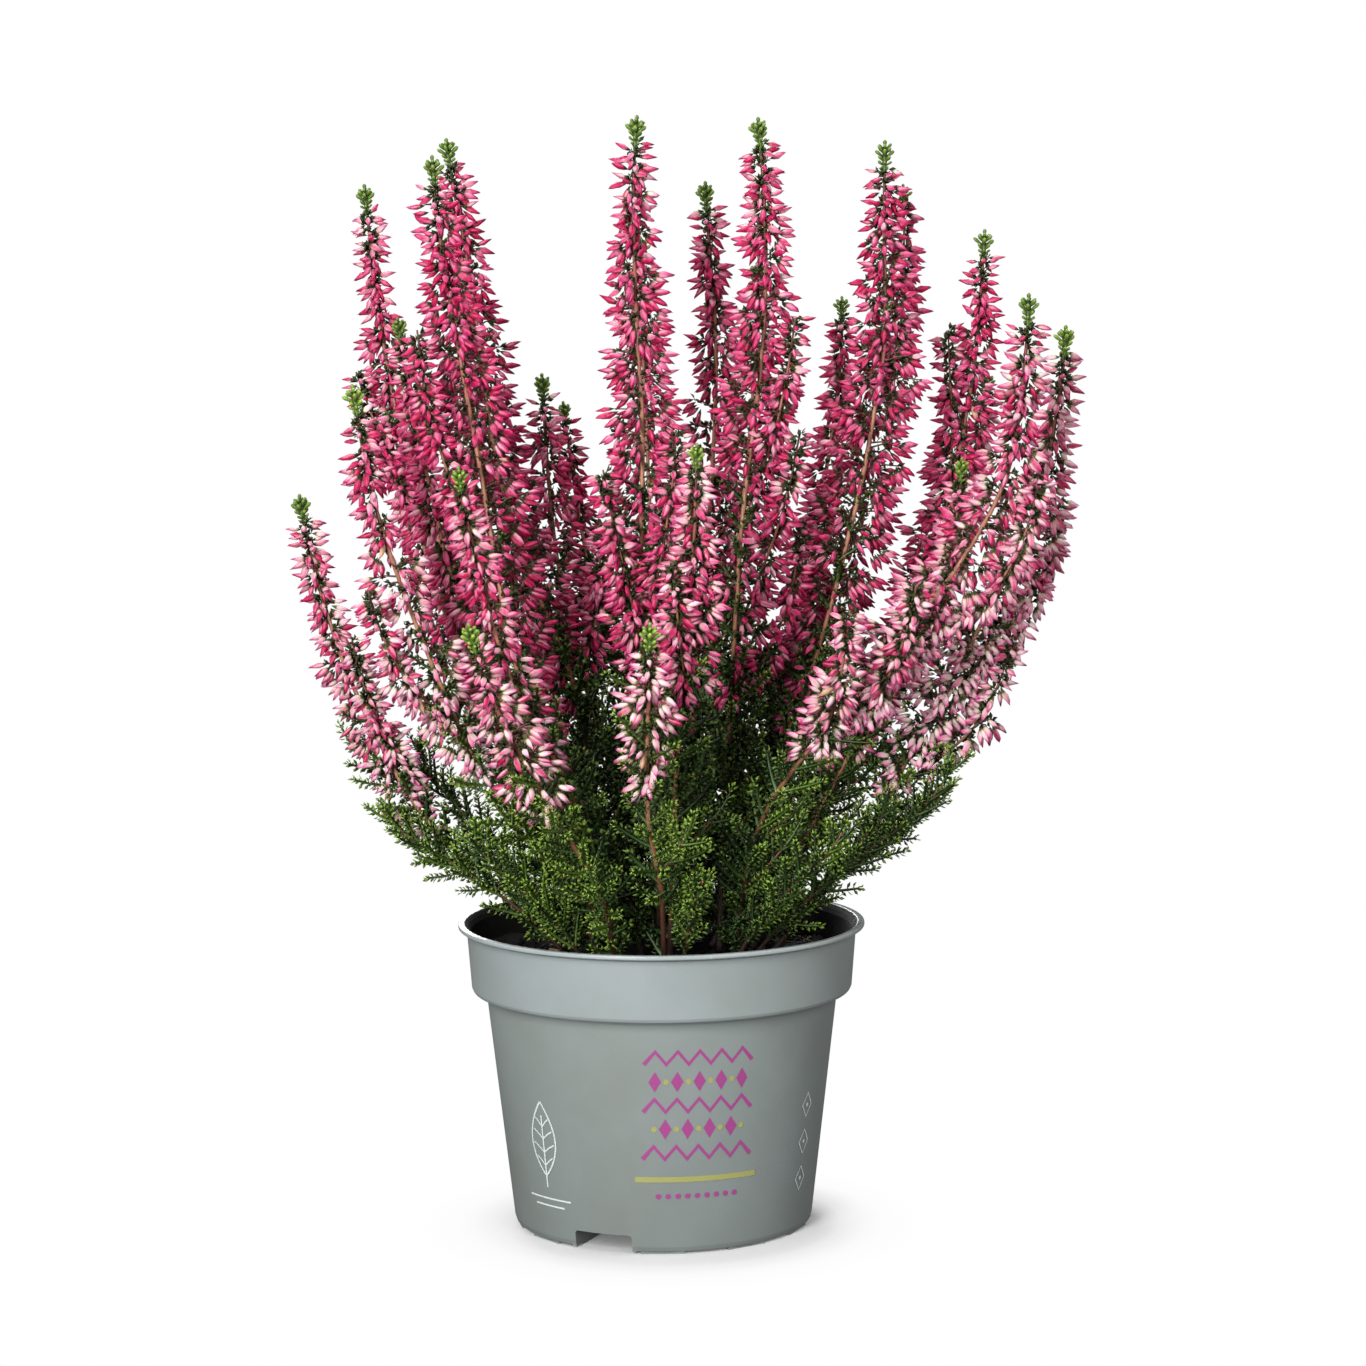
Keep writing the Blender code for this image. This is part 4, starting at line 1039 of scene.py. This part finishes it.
def stem_tube(axis, near=8.0):
    """The bark of a stem, with a slight swelling where leaves and buds stood."""
    total = lengths(axis)[-1]
    s = np.concatenate((np.arange(0.0, 20.0, 1.2), np.arange(20.0, total, 2.1), [total]))
    p, t = read_line(axis, s)
    r = np.array([0.28 + 0.24 * min(1, x / 20.0) + 0.26 * (x / total) ** 0.9 + 0.25 * max(0.0, (x / total - 0.94) / 0.06) for x in s])
    r *= 1 + 0.10 * (np.abs(np.sin(s * math.pi / 4.6)) ** 6)
    return p, r, s / total


for i, spec in enumerate(SPECS):
    name, depth, bloom_end, foot, widest, seen = spec
    axis = AXES[i]
    along = lengths(axis)
    total = along[-1]
    rng = np.random.default_rng(100 + i)
    end = float(np.interp(-bloom_end, -axis[:, 2], along))
    pale = PALE.get(name, (0.15, 0.18))
    turn = rng.normal(0, 0.15)
    flowers, wood = Bag(), Bag()
    main = i < len(SPIKES)
    inner = name in ("16", "17", "18", "19", "26", "27")
    near = 8.4 if main else 7.2
    full = widest * (1.15 if name == "02" else 1.0)
    grow_flowers(flowers, axis, near, end, full, pale, rng, turn, thin=0.15 if inner else 0.10 if name in ("04", "05", "06", "21") else 0.0, least=5.6 if main else 4.9)
    fresh = name in ("04", "14", "21", "24", "25", "06", "15")
    tip_young = 0.85 if fresh else 0.50
    add_tip(wood, axis, 1.0 if main else 0.85, tip_young, rng)
    for parent, d, wide, points in SIDE_SPIKES:
        if parent != name:
            continue
        join = front(*points[-1], np.interp(front(*points[-1], d)[2], axis[::-1, 2], axis[::-1, 1]))
        h = np.linspace(0, 1, len(points))
        side = [front(u, v, d + (join[1] - d) * q**1.5) for (u, v), q in zip(points, h)]
        side = smooth_curve(spline(side, 2.0), 3)
        grow_flowers(flowers, side, 6.0, lengths(side)[-1] * 0.85, wide, pale, rng, turn + 0.3, thin=0.15, least=4.4)
        if (parent, d) == ("11", 26) and points[0] == (903, 184):
            add_tip(wood, side, 0.80, tip_young, rng, 5)
        else:
            grow_flowers(flowers, side, 1.0, 6.0, 5.0, pale, rng, turn, least=2.8)
        wood.twigs.append((side, np.linspace(0.30, 0.55, len(side)), 5, "bark", rng.random(), 0.3))
    # short leafy shoots between the lowest buds, and the leafy foot of the stem
    grow_leaves(wood, axis, end - 0.35 * (end - near), end - 8.0, rng, 0.45, step=8.0, longest=10.0)
    # Stems at the front and on the left, towards the key lamp, get more bright young-green sprigs: partly fresh growth,
    # partly painted light on the lit side
    frontal = axis[-1, 1] < -8 or depth < -30
    left = name in ("02", "04", "05", "06", "20", "21")
    open_foot = name in ("08", "10", "15", "24")
    grow_leaves(wood, axis, end - 8.0, total - (24.0 if open_foot else 3.0), rng, 1.0, step=4.2, longest=15.0, fresh_and_painted_light_share=0.70 if left else 0.38 if frontal else 0.15)
    grow_branches(wood, axis, 106.0 if open_foot else 92.0, 132.0, 1 if open_foot else 2, rng, 1.0, 0.55 if left else 0.25 if frontal else 0.08)
    grow_thicket(wood, axis, 83.0, min(174.0, bloom_end + 6.0), 34 if open_foot else 22, rng)
    if name in ("07", "09", "10", "11", "17", "18", "19", "22", "23", "24"):
        grow_inner_branches(wood, axis, 112.0, bloom_end + 4.0, 4, rng)
    line, radii, share = stem_tube(axis)
    bark = [(line, radii, 7, SLOTS["bark"], 0.5, 0.0, True, share)]
    if main:
        finish_piece(flowers, "buds_" + name, ["flowers_" + name])
        finish_piece(wood, "stem_and_leaves_" + name, ["stem_" + name], bark)
    else:
        flowers.take(wood)
        finish_piece(flowers, "short_spike_growth_" + name, ["short_spike_" + name], bark)

for i, spec in enumerate(LEAFY_SHOOTS):
    axis = AXES[len(SPECS) + i]
    total = lengths(axis)[-1]
    rng = np.random.default_rng(300 + i)
    bag = Bag()
    front_side = math.cos(math.radians(spec[0])) > -0.3
    # Shoots at the front and left, towards the key lamp, more often get bright young-green sprigs: partly fresh growth,
    # partly painted light
    fresh_and_painted_light_share = 0.60 if spec[0] > 240 or spec[0] < 20 else 0.20
    add_sprig(bag, read_line(axis, [7.0])[0][0], read_line(axis, [2.0])[1][0], 9.0, 0.9, rng)
    turn = rng.uniform(-0.3, 0.3)
    for k, s in enumerate(np.arange(4.5, total - 5.0, 3.5)):
        p, t = read_line(axis, [s])
        a, b = across(t[0], turn + 0.25 * k)
        for way in (a, -a) if k % 2 == 0 else (b, -b):
            if p[0][2] < 97 and math.hypot(p[0][0], p[0][1]) > 42:
                continue
            length = (6.5 + 5.5 * min(1.0, s / 28.0)) * rng.uniform(0.75, 1.15)
            tone = rng.uniform(0.25, 0.65) if front_side and rng.random() < fresh_and_painted_light_share else 0.0
            add_sprig(bag, p[0], way * 0.8 + t[0] * rng.uniform(0.9, 1.5) + (0, 0, 0.25), length, rng.uniform(0.7, 1.0), rng, tone=tone)
    s = np.linspace(0, total, 30)
    line = read_line(axis, s)[0]
    bark = [(line, np.linspace(0.26, 0.65, 30), 6, SLOTS["bark"], 0.5, 0.25, True, 0.60 + 0.40 * s / total)]
    finish_piece(bag, "leafy_shoot_growth_%02d" % (i + 1), ["leafy_shoot_%02d" % (i + 1)], bark)

# ---------------------------------------------------------------- the pot
POT_HEIGHT = 89.4
LIP_RADIUS = 60.0
MOUTH_RADIUS = 58.1
BAND_TOP_RADIUS = 57.5
BAND_FOOT_RADIUS = 56.2
BAND_FOOT_HEIGHT = 70.6
BODY_TOP_RADIUS = 51.8
BODY_TOP_HEIGHT = 68.0
BODY_FOOT_RADIUS = 44.1
WALL = 1.0
FLOOR_TOP = 1.3
RIM_CLEARANCE = 0.6
FOOT_RADIUS = 38.5
CHANNEL_AZIMUTHS = (-23.0, 97.0, 217.0)
CHANNEL_WIDTH = 17.7
CHANNEL_HEIGHT = 5.5
CHANNEL_INNER = 21.0
CHANNEL_ROOF = 1.1
DRAIN_HOLE_RADIUS = 3.0


def new_object(name, bm, materials, sharp=35.0):
    mesh = bpy.data.meshes.new(name)
    bm.to_mesh(mesh)
    bm.free()
    for m in materials:
        mesh.materials.append(m)
    mesh.shade_smooth()
    mesh.set_sharp_from_angle(angle=math.radians(sharp))
    ob = bpy.data.objects.new(name, mesh)
    bpy.context.scene.collection.objects.link(ob)
    return ob


def turned(profile, sides):
    bm = bmesh.new()
    made = []
    for r, z in profile:
        if r < 1e-6:
            made.append([bm.verts.new((0, 0, z * MM))])
        else:
            made.append([bm.verts.new((r * MM * math.sin(TAU * k / sides), -r * MM * math.cos(TAU * k / sides), z * MM)) for k in range(sides)])
    for one, two in zip(made[:-1], made[1:]):
        for k in range(sides):
            n = (k + 1) % sides
            corners = [one[k % len(one)], one[n % len(one)], two[n % len(two)], two[k % len(two)]]
            bm.faces.new(list(dict.fromkeys(corners)))
    bmesh.ops.recalc_face_normals(bm, faces=bm.faces)
    return bm


def rounded(profile, radii, steps=5):
    """The profile with its corners rounded: radii gives a radius for each point, 0 for none."""
    out = []
    n = len(profile)
    for i, ((x, z), r) in enumerate(zip(profile, radii)):
        if r <= 0 or i in (0, n - 1):
            out.append((x, z))
            continue
        p = np.array((x, z))
        a, b = np.array(profile[i - 1]) - p, np.array(profile[i + 1]) - p
        la, lb = np.linalg.norm(a), np.linalg.norm(b)
        a, b = a / la, b / lb
        half = 0.5 * math.acos(max(-1.0, min(1.0, float(a @ b))))
        cut = min(r / math.tan(half), 0.45 * la, 0.45 * lb)
        one, two = p + a * cut, p + b * cut
        for k in range(steps + 1):
            t = k / steps
            q = (1 - t) ** 2 * one + 2 * t * (1 - t) * p + t * t * two
            out.append((float(q[0]), float(q[1])))
    return out


def block(low, high, azimuth):
    bm = bmesh.new()
    corners = [bm.verts.new((x * MM, y * MM, z * MM)) for x in (low[0], high[0]) for y in (low[1], high[1]) for z in (low[2], high[2])]
    for f in ((0, 1, 3, 2), (4, 6, 7, 5), (0, 4, 5, 1), (2, 3, 7, 6), (0, 2, 6, 4), (1, 5, 7, 3)):
        bm.faces.new([corners[k] for k in f])
    a = math.radians(azimuth)
    for v in bm.verts:
        x, y = v.co.x, v.co.y
        v.co.x, v.co.y = x * math.cos(a) - y * math.sin(a), x * math.sin(a) + y * math.cos(a)
    return bm


def combine(ob, bm, operation, edge=0.0):
    tool = new_object("tool", bm, [])
    if edge:
        bev = tool.modifiers.new("edge", "BEVEL")
        bev.width = edge * MM
        bev.segments = 3
        bev.limit_method = "ANGLE"
    mod = ob.modifiers.new("cut", "BOOLEAN")
    mod.operation, mod.solver, mod.object = operation, "EXACT", tool
    bpy.context.view_layer.update()
    done = bpy.data.meshes.new_from_object(ob.evaluated_get(bpy.context.evaluated_depsgraph_get()))
    ob.modifiers.clear()
    old = ob.data
    ob.data = done
    bpy.data.meshes.remove(old)
    bpy.data.objects.remove(tool)


def make_pot():
    points = [
        (0.0, 0.0, 0),
        (FOOT_RADIUS, 0.0, 0),
        (FOOT_RADIUS + 0.6, RIM_CLEARANCE, 0),
        (BODY_FOOT_RADIUS - 0.4, RIM_CLEARANCE, 0.6),
        (BODY_FOOT_RADIUS + 0.12, 2.2, 0.8),
        (BODY_TOP_RADIUS, BODY_TOP_HEIGHT, 0.4),
        (BODY_TOP_RADIUS + 0.4, BODY_TOP_HEIGHT + 1.0, 0.5),
        (BAND_FOOT_RADIUS - 0.5, BODY_TOP_HEIGHT + 1.5, 0.8),
        (BAND_FOOT_RADIUS, BAND_FOOT_HEIGHT, 0.8),
        (BAND_TOP_RADIUS, POT_HEIGHT - 2.0, 0.4),
        (BAND_TOP_RADIUS + 1.3, POT_HEIGHT - 1.5, 0.5),
        (LIP_RADIUS, POT_HEIGHT - 1.2, 0.4),
        (LIP_RADIUS, POT_HEIGHT, 0.6),
        (MOUTH_RADIUS, POT_HEIGHT, 0.5),
        (MOUTH_RADIUS - 0.9, POT_HEIGHT - 1.2, 0.6),
        (BAND_TOP_RADIUS - WALL, POT_HEIGHT - 2.6, 0.6),
        (BAND_FOOT_RADIUS - WALL, BAND_FOOT_HEIGHT + 0.7, 1.5),
        (BODY_TOP_RADIUS - 0.4, BODY_TOP_HEIGHT + 1.8, 1.0),
        (BODY_TOP_RADIUS - WALL, BODY_TOP_HEIGHT - 0.2, 0.6),
        (BODY_FOOT_RADIUS - WALL + 0.2, 3.6, 1.0),
        (BODY_FOOT_RADIUS - WALL - 1.2, FLOOR_TOP, 1.0),
        (0.0, FLOOR_TOP, 0),
    ]
    profile = rounded([(r, z) for r, z, _ in points], [q for _, _, q in points])
    pot = new_object("pot_plastic_body", turned(profile, 144), [POT])
    half = 0.5 * CHANNEL_WIDTH
    for azimuth in CHANNEL_AZIMUTHS:
        combine(
            pot,
            block(
                (-half - CHANNEL_ROOF, -(BODY_FOOT_RADIUS - WALL - 0.3), 0.5),
                (half + CHANNEL_ROOF, -CHANNEL_INNER + CHANNEL_ROOF, CHANNEL_HEIGHT + CHANNEL_ROOF),
                azimuth,
            ),
            "UNION",
        )
    for azimuth in CHANNEL_AZIMUTHS:
        combine(pot, block((-half, -60.0, -2.0), (half, -CHANNEL_INNER, CHANNEL_HEIGHT), azimuth), "DIFFERENCE", 0.9)
        hole = bmesh.new()
        bmesh.ops.create_cone(hole, cap_ends=True, segments=32, radius1=DRAIN_HOLE_RADIUS * MM, radius2=DRAIN_HOLE_RADIUS * MM, depth=4.0 * MM)
        a = math.radians(azimuth)
        bmesh.ops.translate(hole, verts=hole.verts, vec=Vector((32.0 * math.sin(a), -32.0 * math.cos(a), CHANNEL_HEIGHT + 0.6)) * MM)
        combine(pot, hole, "DIFFERENCE")
    # small feet at the edge of the base
    for azimuth in (0.0, 34.0, 66.0, 128.0, 160.0, 186.0, 248.0, 280.0, 308.0):
        combine(pot, block((-6.2, -(BODY_FOOT_RADIUS - 0.9), 0.0), (6.2, -(BODY_FOOT_RADIUS - 3.4), 0.9), azimuth), "UNION")
    pot.data.shade_smooth()
    pot.data.set_sharp_from_angle(angle=math.radians(32))
    pot.data.materials.clear()
    pot.data.materials.append(POT)
    pot.data.materials.append(POT_INSIDE)
    # faces that look inwards below the rim take the near-black painted shade of the inside
    for face in pot.data.polygons:
        c = face.center
        inward = face.normal.x * c.x + face.normal.y * c.y < -0.2 * math.hypot(c.x, c.y)
        face.material_index = int(inward and c.z > 0.006 and math.hypot(c.x, c.y) > 0.042 and c.z < 0.0889)
    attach(pot, "root")
    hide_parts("pot")
    totals[pot.name] = len(pot.data.polygons)
    return pot


def wall_radius(z):
    return BODY_FOOT_RADIUS + (BODY_TOP_RADIUS - BODY_FOOT_RADIUS) * z / BODY_TOP_HEIGHT


def on_wall(centre, x, z, lift=0.05):
    """A point of the print: x mm to the right of its centre line along the wall, at height z."""
    r = wall_radius(z) + lift
    a = math.radians(centre) + x / wall_radius(z)
    return (r * math.sin(a), -r * math.cos(a), z)


class Print:
    """Flat shapes laid on the pot's wall, as thin solid ink."""

    def __init__(self, centre):
        self.centre, self.faces = centre, []

    def shape(self, outline):
        self.faces.append(outline)

    def leaf(self, x, z, angle, length, width, steps=7):
        """A pointed leaf from (x, z) at an angle from upright, clockwise."""
        c, s = math.cos(angle), math.sin(angle)
        left, right = [], []
        for k in range(steps + 1):
            t = k / steps
            w = width * math.sin(math.pi * t) ** 0.8 * (1 - 0.25 * t) * 0.5
            px, pz = x + s * t * length, z + c * t * length
            left.append((px - c * w, pz + s * w))
            right.append((px + c * w, pz - s * w))
        for k in range(steps):
            self.faces.append([left[k], right[k], right[k + 1], left[k + 1]])

    def dot(self, x, z, r, sides=14):
        self.faces.append([(x + r * math.cos(TAU * k / sides), z + r * math.sin(TAU * k / sides)) for k in range(sides)])

    def lozenge(self, x, z, wide, high):
        self.faces.append([(x - 0.5 * wide, z), (x, z - 0.5 * high), (x + 0.5 * wide, z), (x, z + 0.5 * high)])

    def line(self, points, width):
        p = np.array(points, float)
        t = unit(np.gradient(p, axis=0))
        n = np.stack((-t[:, 1], t[:, 0]), 1) * 0.5 * width
        for k in range(len(p) - 1):
            self.faces.append([tuple(p[k] + n[k]), tuple(p[k] - n[k]), tuple(p[k + 1] - n[k + 1]), tuple(p[k + 1] + n[k + 1])])

    def make(self, name, material, lift=0.05):
        bm = bmesh.new()
        seen = {}

        def vert(x, z):
            key = (round(x, 4), round(z, 4))
            if key not in seen:
                seen[key] = bm.verts.new(Vector(on_wall(self.centre, x, z, lift)) * MM)
            return seen[key]

        for outline in self.faces:
            corners = list(dict.fromkeys(vert(x, z) for x, z in outline))
            if len(corners) > 2:
                try:
                    bm.faces.new(corners)
                except ValueError:
                    pass
        bm.normal_update()
        for f in bm.faces:
            c = f.calc_center_median()
            if f.normal.dot(Vector((c.x, c.y, 0))) < 0:
                f.normal_flip()
        ob = new_object(name, bm, [material])
        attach(ob, "root")
        totals[name] = len(ob.data.polygons)
        return ob


def make_prints():
    # front: zigzags above and between two rows of lozenges, with a plain rule and a row of dots below
    pink, yellow, white = Print(12.5), Print(12.5), Print(-46.0)
    for z in (58.5, 44.5, 30.5):
        pink.line([(-16.0 + 3.2 * k, z + (1.9 if k % 2 else -1.9)) for k in range(11)], 1.3)
    for z, shift in ((51.5, 0.0), (37.5, 3.2)):
        for k in range(-3, 4):
            x = 6.4 * k + shift
            if abs(x) < 14.5:
                pink.lozenge(x, z, 3.6, 6.0)
            if abs(x + 3.2) < 14.5:
                yellow.dot(x + 3.2, z, 0.85)
    yellow.line([(x, 22.5) for x in np.linspace(-18.0, 18.0, 31)], 1.6)
    for k in range(9):
        pink.dot(-11.2 + 2.8 * k, 17.5, 0.8)
    pink.make("print_front_zigzags", PRINT_PINK)
    yellow.make("print_front_dots", PRINT_YELLOW, 0.06)
    # left: a plain leaf drawn in outline, with two rules below it
    outline = []
    for sign in (1, -1):
        half = [(sign * 5.4 * math.sin(math.pi * t) ** 0.85 * (1 - 0.2 * t), 20.5 + 22.0 * t) for t in np.linspace(0, 1, 25)]
        white.line(half, 0.55)
    white.line([(0, 17.0), (0, 24), (0, 30), (0, 38.5)], 0.55)
    for z, w in ((23.5, 3.2), (27.5, 4.2), (31.5, 3.8), (35.0, 2.6)):
        white.line([(0, z), (w * 0.55, z + 1.6), (w, z + 2.6)], 0.42)
        white.line([(0, z), (-w * 0.55, z + 1.6), (-w, z + 2.6)], 0.42)
    white.line([(x, 13.6) for x in np.linspace(-8.5, 8.5, 12)], 0.5)
    white.line([(x, 11.4) for x in np.linspace(-6.0, 6.0, 10)], 0.5)
    white.make("print_left_leaf", PRINT_WHITE)
    ring = Print(60.0)
    for z in (39.0, 28.0, 17.0):
        ring.line([(2.6, z), (0.0, z + 3.6), (-2.6, z), (0.0, z - 3.6), (2.6, z)], 0.55)
        ring.dot(0.0, z, 0.6)
    ring.make("print_right_lozenges", PRINT_WHITE)


make_pot()
make_prints()


# ---------------------------------------------------------------- the soil
def make_soil():
    rng = np.random.default_rng(7)
    sides, rings = 96, 30
    radius = BAND_FOOT_RADIUS - WALL + 0.35 - 0.4
    waves = [(rng.uniform(0.05, 1.1), rng.uniform(0, TAU), rng.uniform(0, TAU)) for _ in range(70)]

    def lump(x, y):
        h = 0.0
        for f, a, p in waves:
            h = h + math.sin(f * (x * math.cos(a) + y * math.sin(a)) * 1.6 + p) * 0.16 / (0.35 + f)
        return h

    r = np.linspace(0.4, radius, rings)
    a = TAU * np.arange(sides) / sides
    x = r[:, None] * np.sin(a)[None]
    y = -r[:, None] * np.cos(a)[None]
    h = np.zeros_like(x)
    for f, ang, ph in waves:
        h += np.sin(f * (x * math.cos(ang) + y * math.sin(ang)) * 1.6 + ph) * 0.20 / (0.35 + f)
    h += rng.normal(0, 0.22, x.shape)
    h *= np.clip((radius - r) / 2.0, 0.25, 1.0)[:, None]
    top = np.stack((x, y, SOIL_TOP - 0.6 + np.clip(h, -1.6, 1.9)), 2).reshape(-1, 3)
    idx = np.arange(rings * sides).reshape(rings, sides)
    nxt = np.roll(idx, -1, 1)
    faces = np.stack((idx[:-1], idx[1:], nxt[1:], nxt[:-1]), 2).reshape(-1, 4)
    edge = top.reshape(rings, sides, 3)[-1].copy()
    low = edge.copy()
    low[:, 2] = 74.0
    low[:, :2] *= 0.985
    base = len(top)
    side_faces = np.stack((idx[-1], base + np.arange(sides), base + np.roll(np.arange(sides), -1), nxt[-1]), 1)
    soup = Soup()
    points = np.vstack((top, low))
    all_faces = np.vstack((faces, side_faces))
    uv = points[all_faces][:, :, :2] / (2.2 * radius) + 0.5
    soup.add(points, all_faces, uv, 0, np.zeros((len(points), 4)))
    cells = Cells(64)
    # crumbs of peat
    crumbs = Crop()
    n = 620
    rr = radius * np.sqrt(rng.uniform(0.10, 0.96, n))
    aa = rng.uniform(0, TAU, n)
    at = np.stack((rr * np.sin(aa), -rr * np.cos(aa), SOIL_TOP - 0.3 + rng.uniform(-0.3, 0.9, n)), 1)
    size = rng.uniform(0.35, 1.5, n) * rng.uniform(0.5, 1.0, n)
    crumbs.add(at, unit(rng.normal(0, 1, (n, 3))), size, size * rng.uniform(0.6, 1.2, n), rng.uniform(0.5, 1.0, n), rng.uniform(0, TAU, n), rng.random(n), 0.0)
    crumbs.write(soup, CRUMB, 0, Cells(n))
    # straws and rootlets
    for k in range(34):
        rr = radius * math.sqrt(rng.uniform(0.25, 0.93))
        aa = rng.uniform(0, TAU)
        c = np.array((rr * math.sin(aa), -rr * math.cos(aa), SOIL_TOP + rng.uniform(0.2, 1.1)))
        d = unit(np.append(rng.normal(0, 1, 2), rng.normal(0.05, 0.12)))
        w = unit(np.append(rng.normal(0, 1, 2), 0.3))
        length = rng.uniform(3, 11)
        t = np.linspace(-0.5, 0.5, 7)
        line = c + d * length * t[:, None] + w * (length * 0.35) * (t**2)[:, None]
        keep = np.hypot(line[:, 0], line[:, 1]) < radius - 1.0
        line = line[keep]
        if len(line) > 3:
            tube(soup, line, rng.uniform(0.12, 0.3), 5, 1, Cells(4), rng.random(), 0.0)
    white = Crop()
    n = 7
    rr = radius * np.sqrt(rng.uniform(0.3, 0.9, n))
    aa = rng.uniform(0, TAU, n)
    white.add(np.stack((rr * np.sin(aa), -rr * np.cos(aa), np.full(n, SOIL_TOP + 0.7)), 1), unit(rng.normal(0, 1, (n, 3))), rng.uniform(0.4, 0.9, n), rng.uniform(0.4, 0.8, n), 0.8, 0.0, rng.random(n), 0.0)
    white.add(front(648, 938, -42.0)[None] * (1, 1, 0) + (0, 0, SOIL_TOP + 1.1), np.array((0.3, 0.2, 1.0)), 1.6, 1.5, 0.8, 0.4, 0.5, 0.0)
    white.write(soup, CRUMB, 2, Cells(n + 1))
    ob = soup.make("peat_surface", [PEAT, STRAW, PERLITE])
    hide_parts("soil")
    totals[ob.name] = soup.triangles()


make_soil()

# ---------------------------------------------------------------- the stage
scene = bpy.context.scene
floor_mat, tree, sh = nodes_of("floor")
sh.inputs["Base Color"].default_value = (0.60, 0.60, 0.60, 1)
sh.inputs["Roughness"].default_value = 0.9
sh.inputs["Specular IOR Level"].default_value = 0.1
sh.inputs["Emission Color"].default_value = (1, 1, 1, 1)
sh.inputs["Emission Strength"].default_value = 0.10
# the floor fades to the white of the surround away from the pot; close to the pot the white glow is dimmer, a painted
# contact shadow
where = tree.nodes.new("ShaderNodeTexCoord")
length = tree.nodes.new("ShaderNodeVectorMath")
length.operation = "LENGTH"
tree.links.new(where.outputs["Object"], length.inputs[0])
fade = ramp(tree, length.outputs["Value"], ((0.042, (0, 0, 0, 1)), (0.050, (0.70, 0.70, 0.70, 1)), (0.062, (1, 1, 1, 1))))
white = tree.nodes.new("ShaderNodeEmission")
# painted shadow: the glow dims towards the pot's foot
tree.links.new(ramp(tree, length.outputs["Value"], ((0.044, (0.72, 0.72, 0.72, 1)), (0.051, (0.89, 0.89, 0.89, 1)), (0.059, (0.97, 0.97, 0.97, 1)), (0.076, (1, 1, 1, 1)))), white.inputs["Color"])
blend = tree.nodes.new("ShaderNodeMixShader")
tree.links.new(fade, blend.inputs[0])
tree.links.new(sh.outputs["BSDF"], blend.inputs[1])
tree.links.new(white.outputs["Emission"], blend.inputs[2])
tree.links.new(blend.outputs["Shader"], tree.nodes["Material Output"].inputs["Surface"])
bm = bmesh.new()
bmesh.ops.create_circle(bm, cap_ends=True, segments=96, radius=0.8)
floor = new_object("floor", bm, [floor_mat])
# the floor sits a little to the front, which moves the painted contact shadow forwards
floor.location = (0.002, -0.006, 0.0)
floor.visible_diffuse = floor.visible_glossy = False

# a plain white surround, seen by the camera only
back_mat = bpy.data.materials.new("surround")
back_mat.use_nodes = True
tree = back_mat.node_tree
tree.nodes.clear()
glow = tree.nodes.new("ShaderNodeEmission")
glow.inputs["Color"].default_value = (1, 1, 1, 1)
glow.inputs["Strength"].default_value = 1.0
out = tree.nodes.new("ShaderNodeOutputMaterial")
tree.links.new(glow.outputs["Emission"], out.inputs["Surface"])
bm = bmesh.new()
bmesh.ops.create_uvsphere(bm, u_segments=48, v_segments=24, radius=9.0)
surround = new_object("surround", bm, [back_mat])
surround.visible_diffuse = surround.visible_glossy = surround.visible_transmission = surround.visible_shadow = False

world = bpy.data.worlds.new("studio")
scene.world = world
world.use_nodes = True
back = world.node_tree.nodes["Background"]
back.inputs["Color"].default_value = (1, 1, 1, 1)
back.inputs["Strength"].default_value = 0.12


def area(name, at, aim, size, power):
    light = bpy.data.lights.new(name, "AREA")
    light.shape = "RECTANGLE"
    light.size, light.size_y = size
    light.energy = power
    ob = bpy.data.objects.new(name, light)
    scene.collection.objects.link(ob)
    ob.location = at
    ob.rotation_euler = (Vector(aim) - Vector(at)).to_track_quat("-Z", "Y").to_euler()
    ob.visible_camera = False
    return ob


area("key", (-0.46, -1.06, 0.50), (0, 0, 0.15), (0.35, 0.9), 23.0)
area("second", (0.62, -0.96, 0.45), (0, 0, 0.15), (0.32, 0.9), 5.4)
area("right", (1.10, -0.05, 0.50), (0, 0, 0.15), (0.35, 0.9), 3.2)
area("left", (-1.10, 0.35, 0.50), (0, 0, 0.15), (0.35, 0.9), 3.0)
area("back", (-0.30, 1.15, 0.60), (0, 0, 0.15), (0.50, 0.9), 13.0)
area("top", (0.0, -0.15, 1.35), (0, 0, 0.2), (0.8, 0.8), 8.0)

cam = bpy.data.cameras.new("camera")
cam.sensor_width = 36.0
cam.lens = VIEW_FOCAL / VIEW_SIZE * 36.0
cam.clip_start, cam.clip_end = 0.05, 50.0
cam_ob = bpy.data.objects.new("camera", cam)
scene.collection.objects.link(cam_ob)
cam_ob.location = Vector(EYE) * MM
look = (Vector((1, 0, 0)), Vector((0, math.sin(VIEW_PITCH), math.cos(VIEW_PITCH))), Vector((0, -math.cos(VIEW_PITCH), math.sin(VIEW_PITCH))))
right, up, backward = look
cr, sr = math.cos(VIEW_ROLL), math.sin(VIEW_ROLL)
right, up = right * cr - up * sr, up * cr + right * sr
cam_ob.rotation_euler = Matrix((right, up, backward)).transposed().to_euler()
scene.camera = cam_ob

scene.view_settings.view_transform = "Standard"
scene.view_settings.look = "None"
scene.view_settings.exposure = 0.0
scene.view_settings.gamma = 1.0

print("TRIANGLES", sum(totals.values()), sorted(totals.items(), key=lambda x: -x[1])[:6], COUNTS)
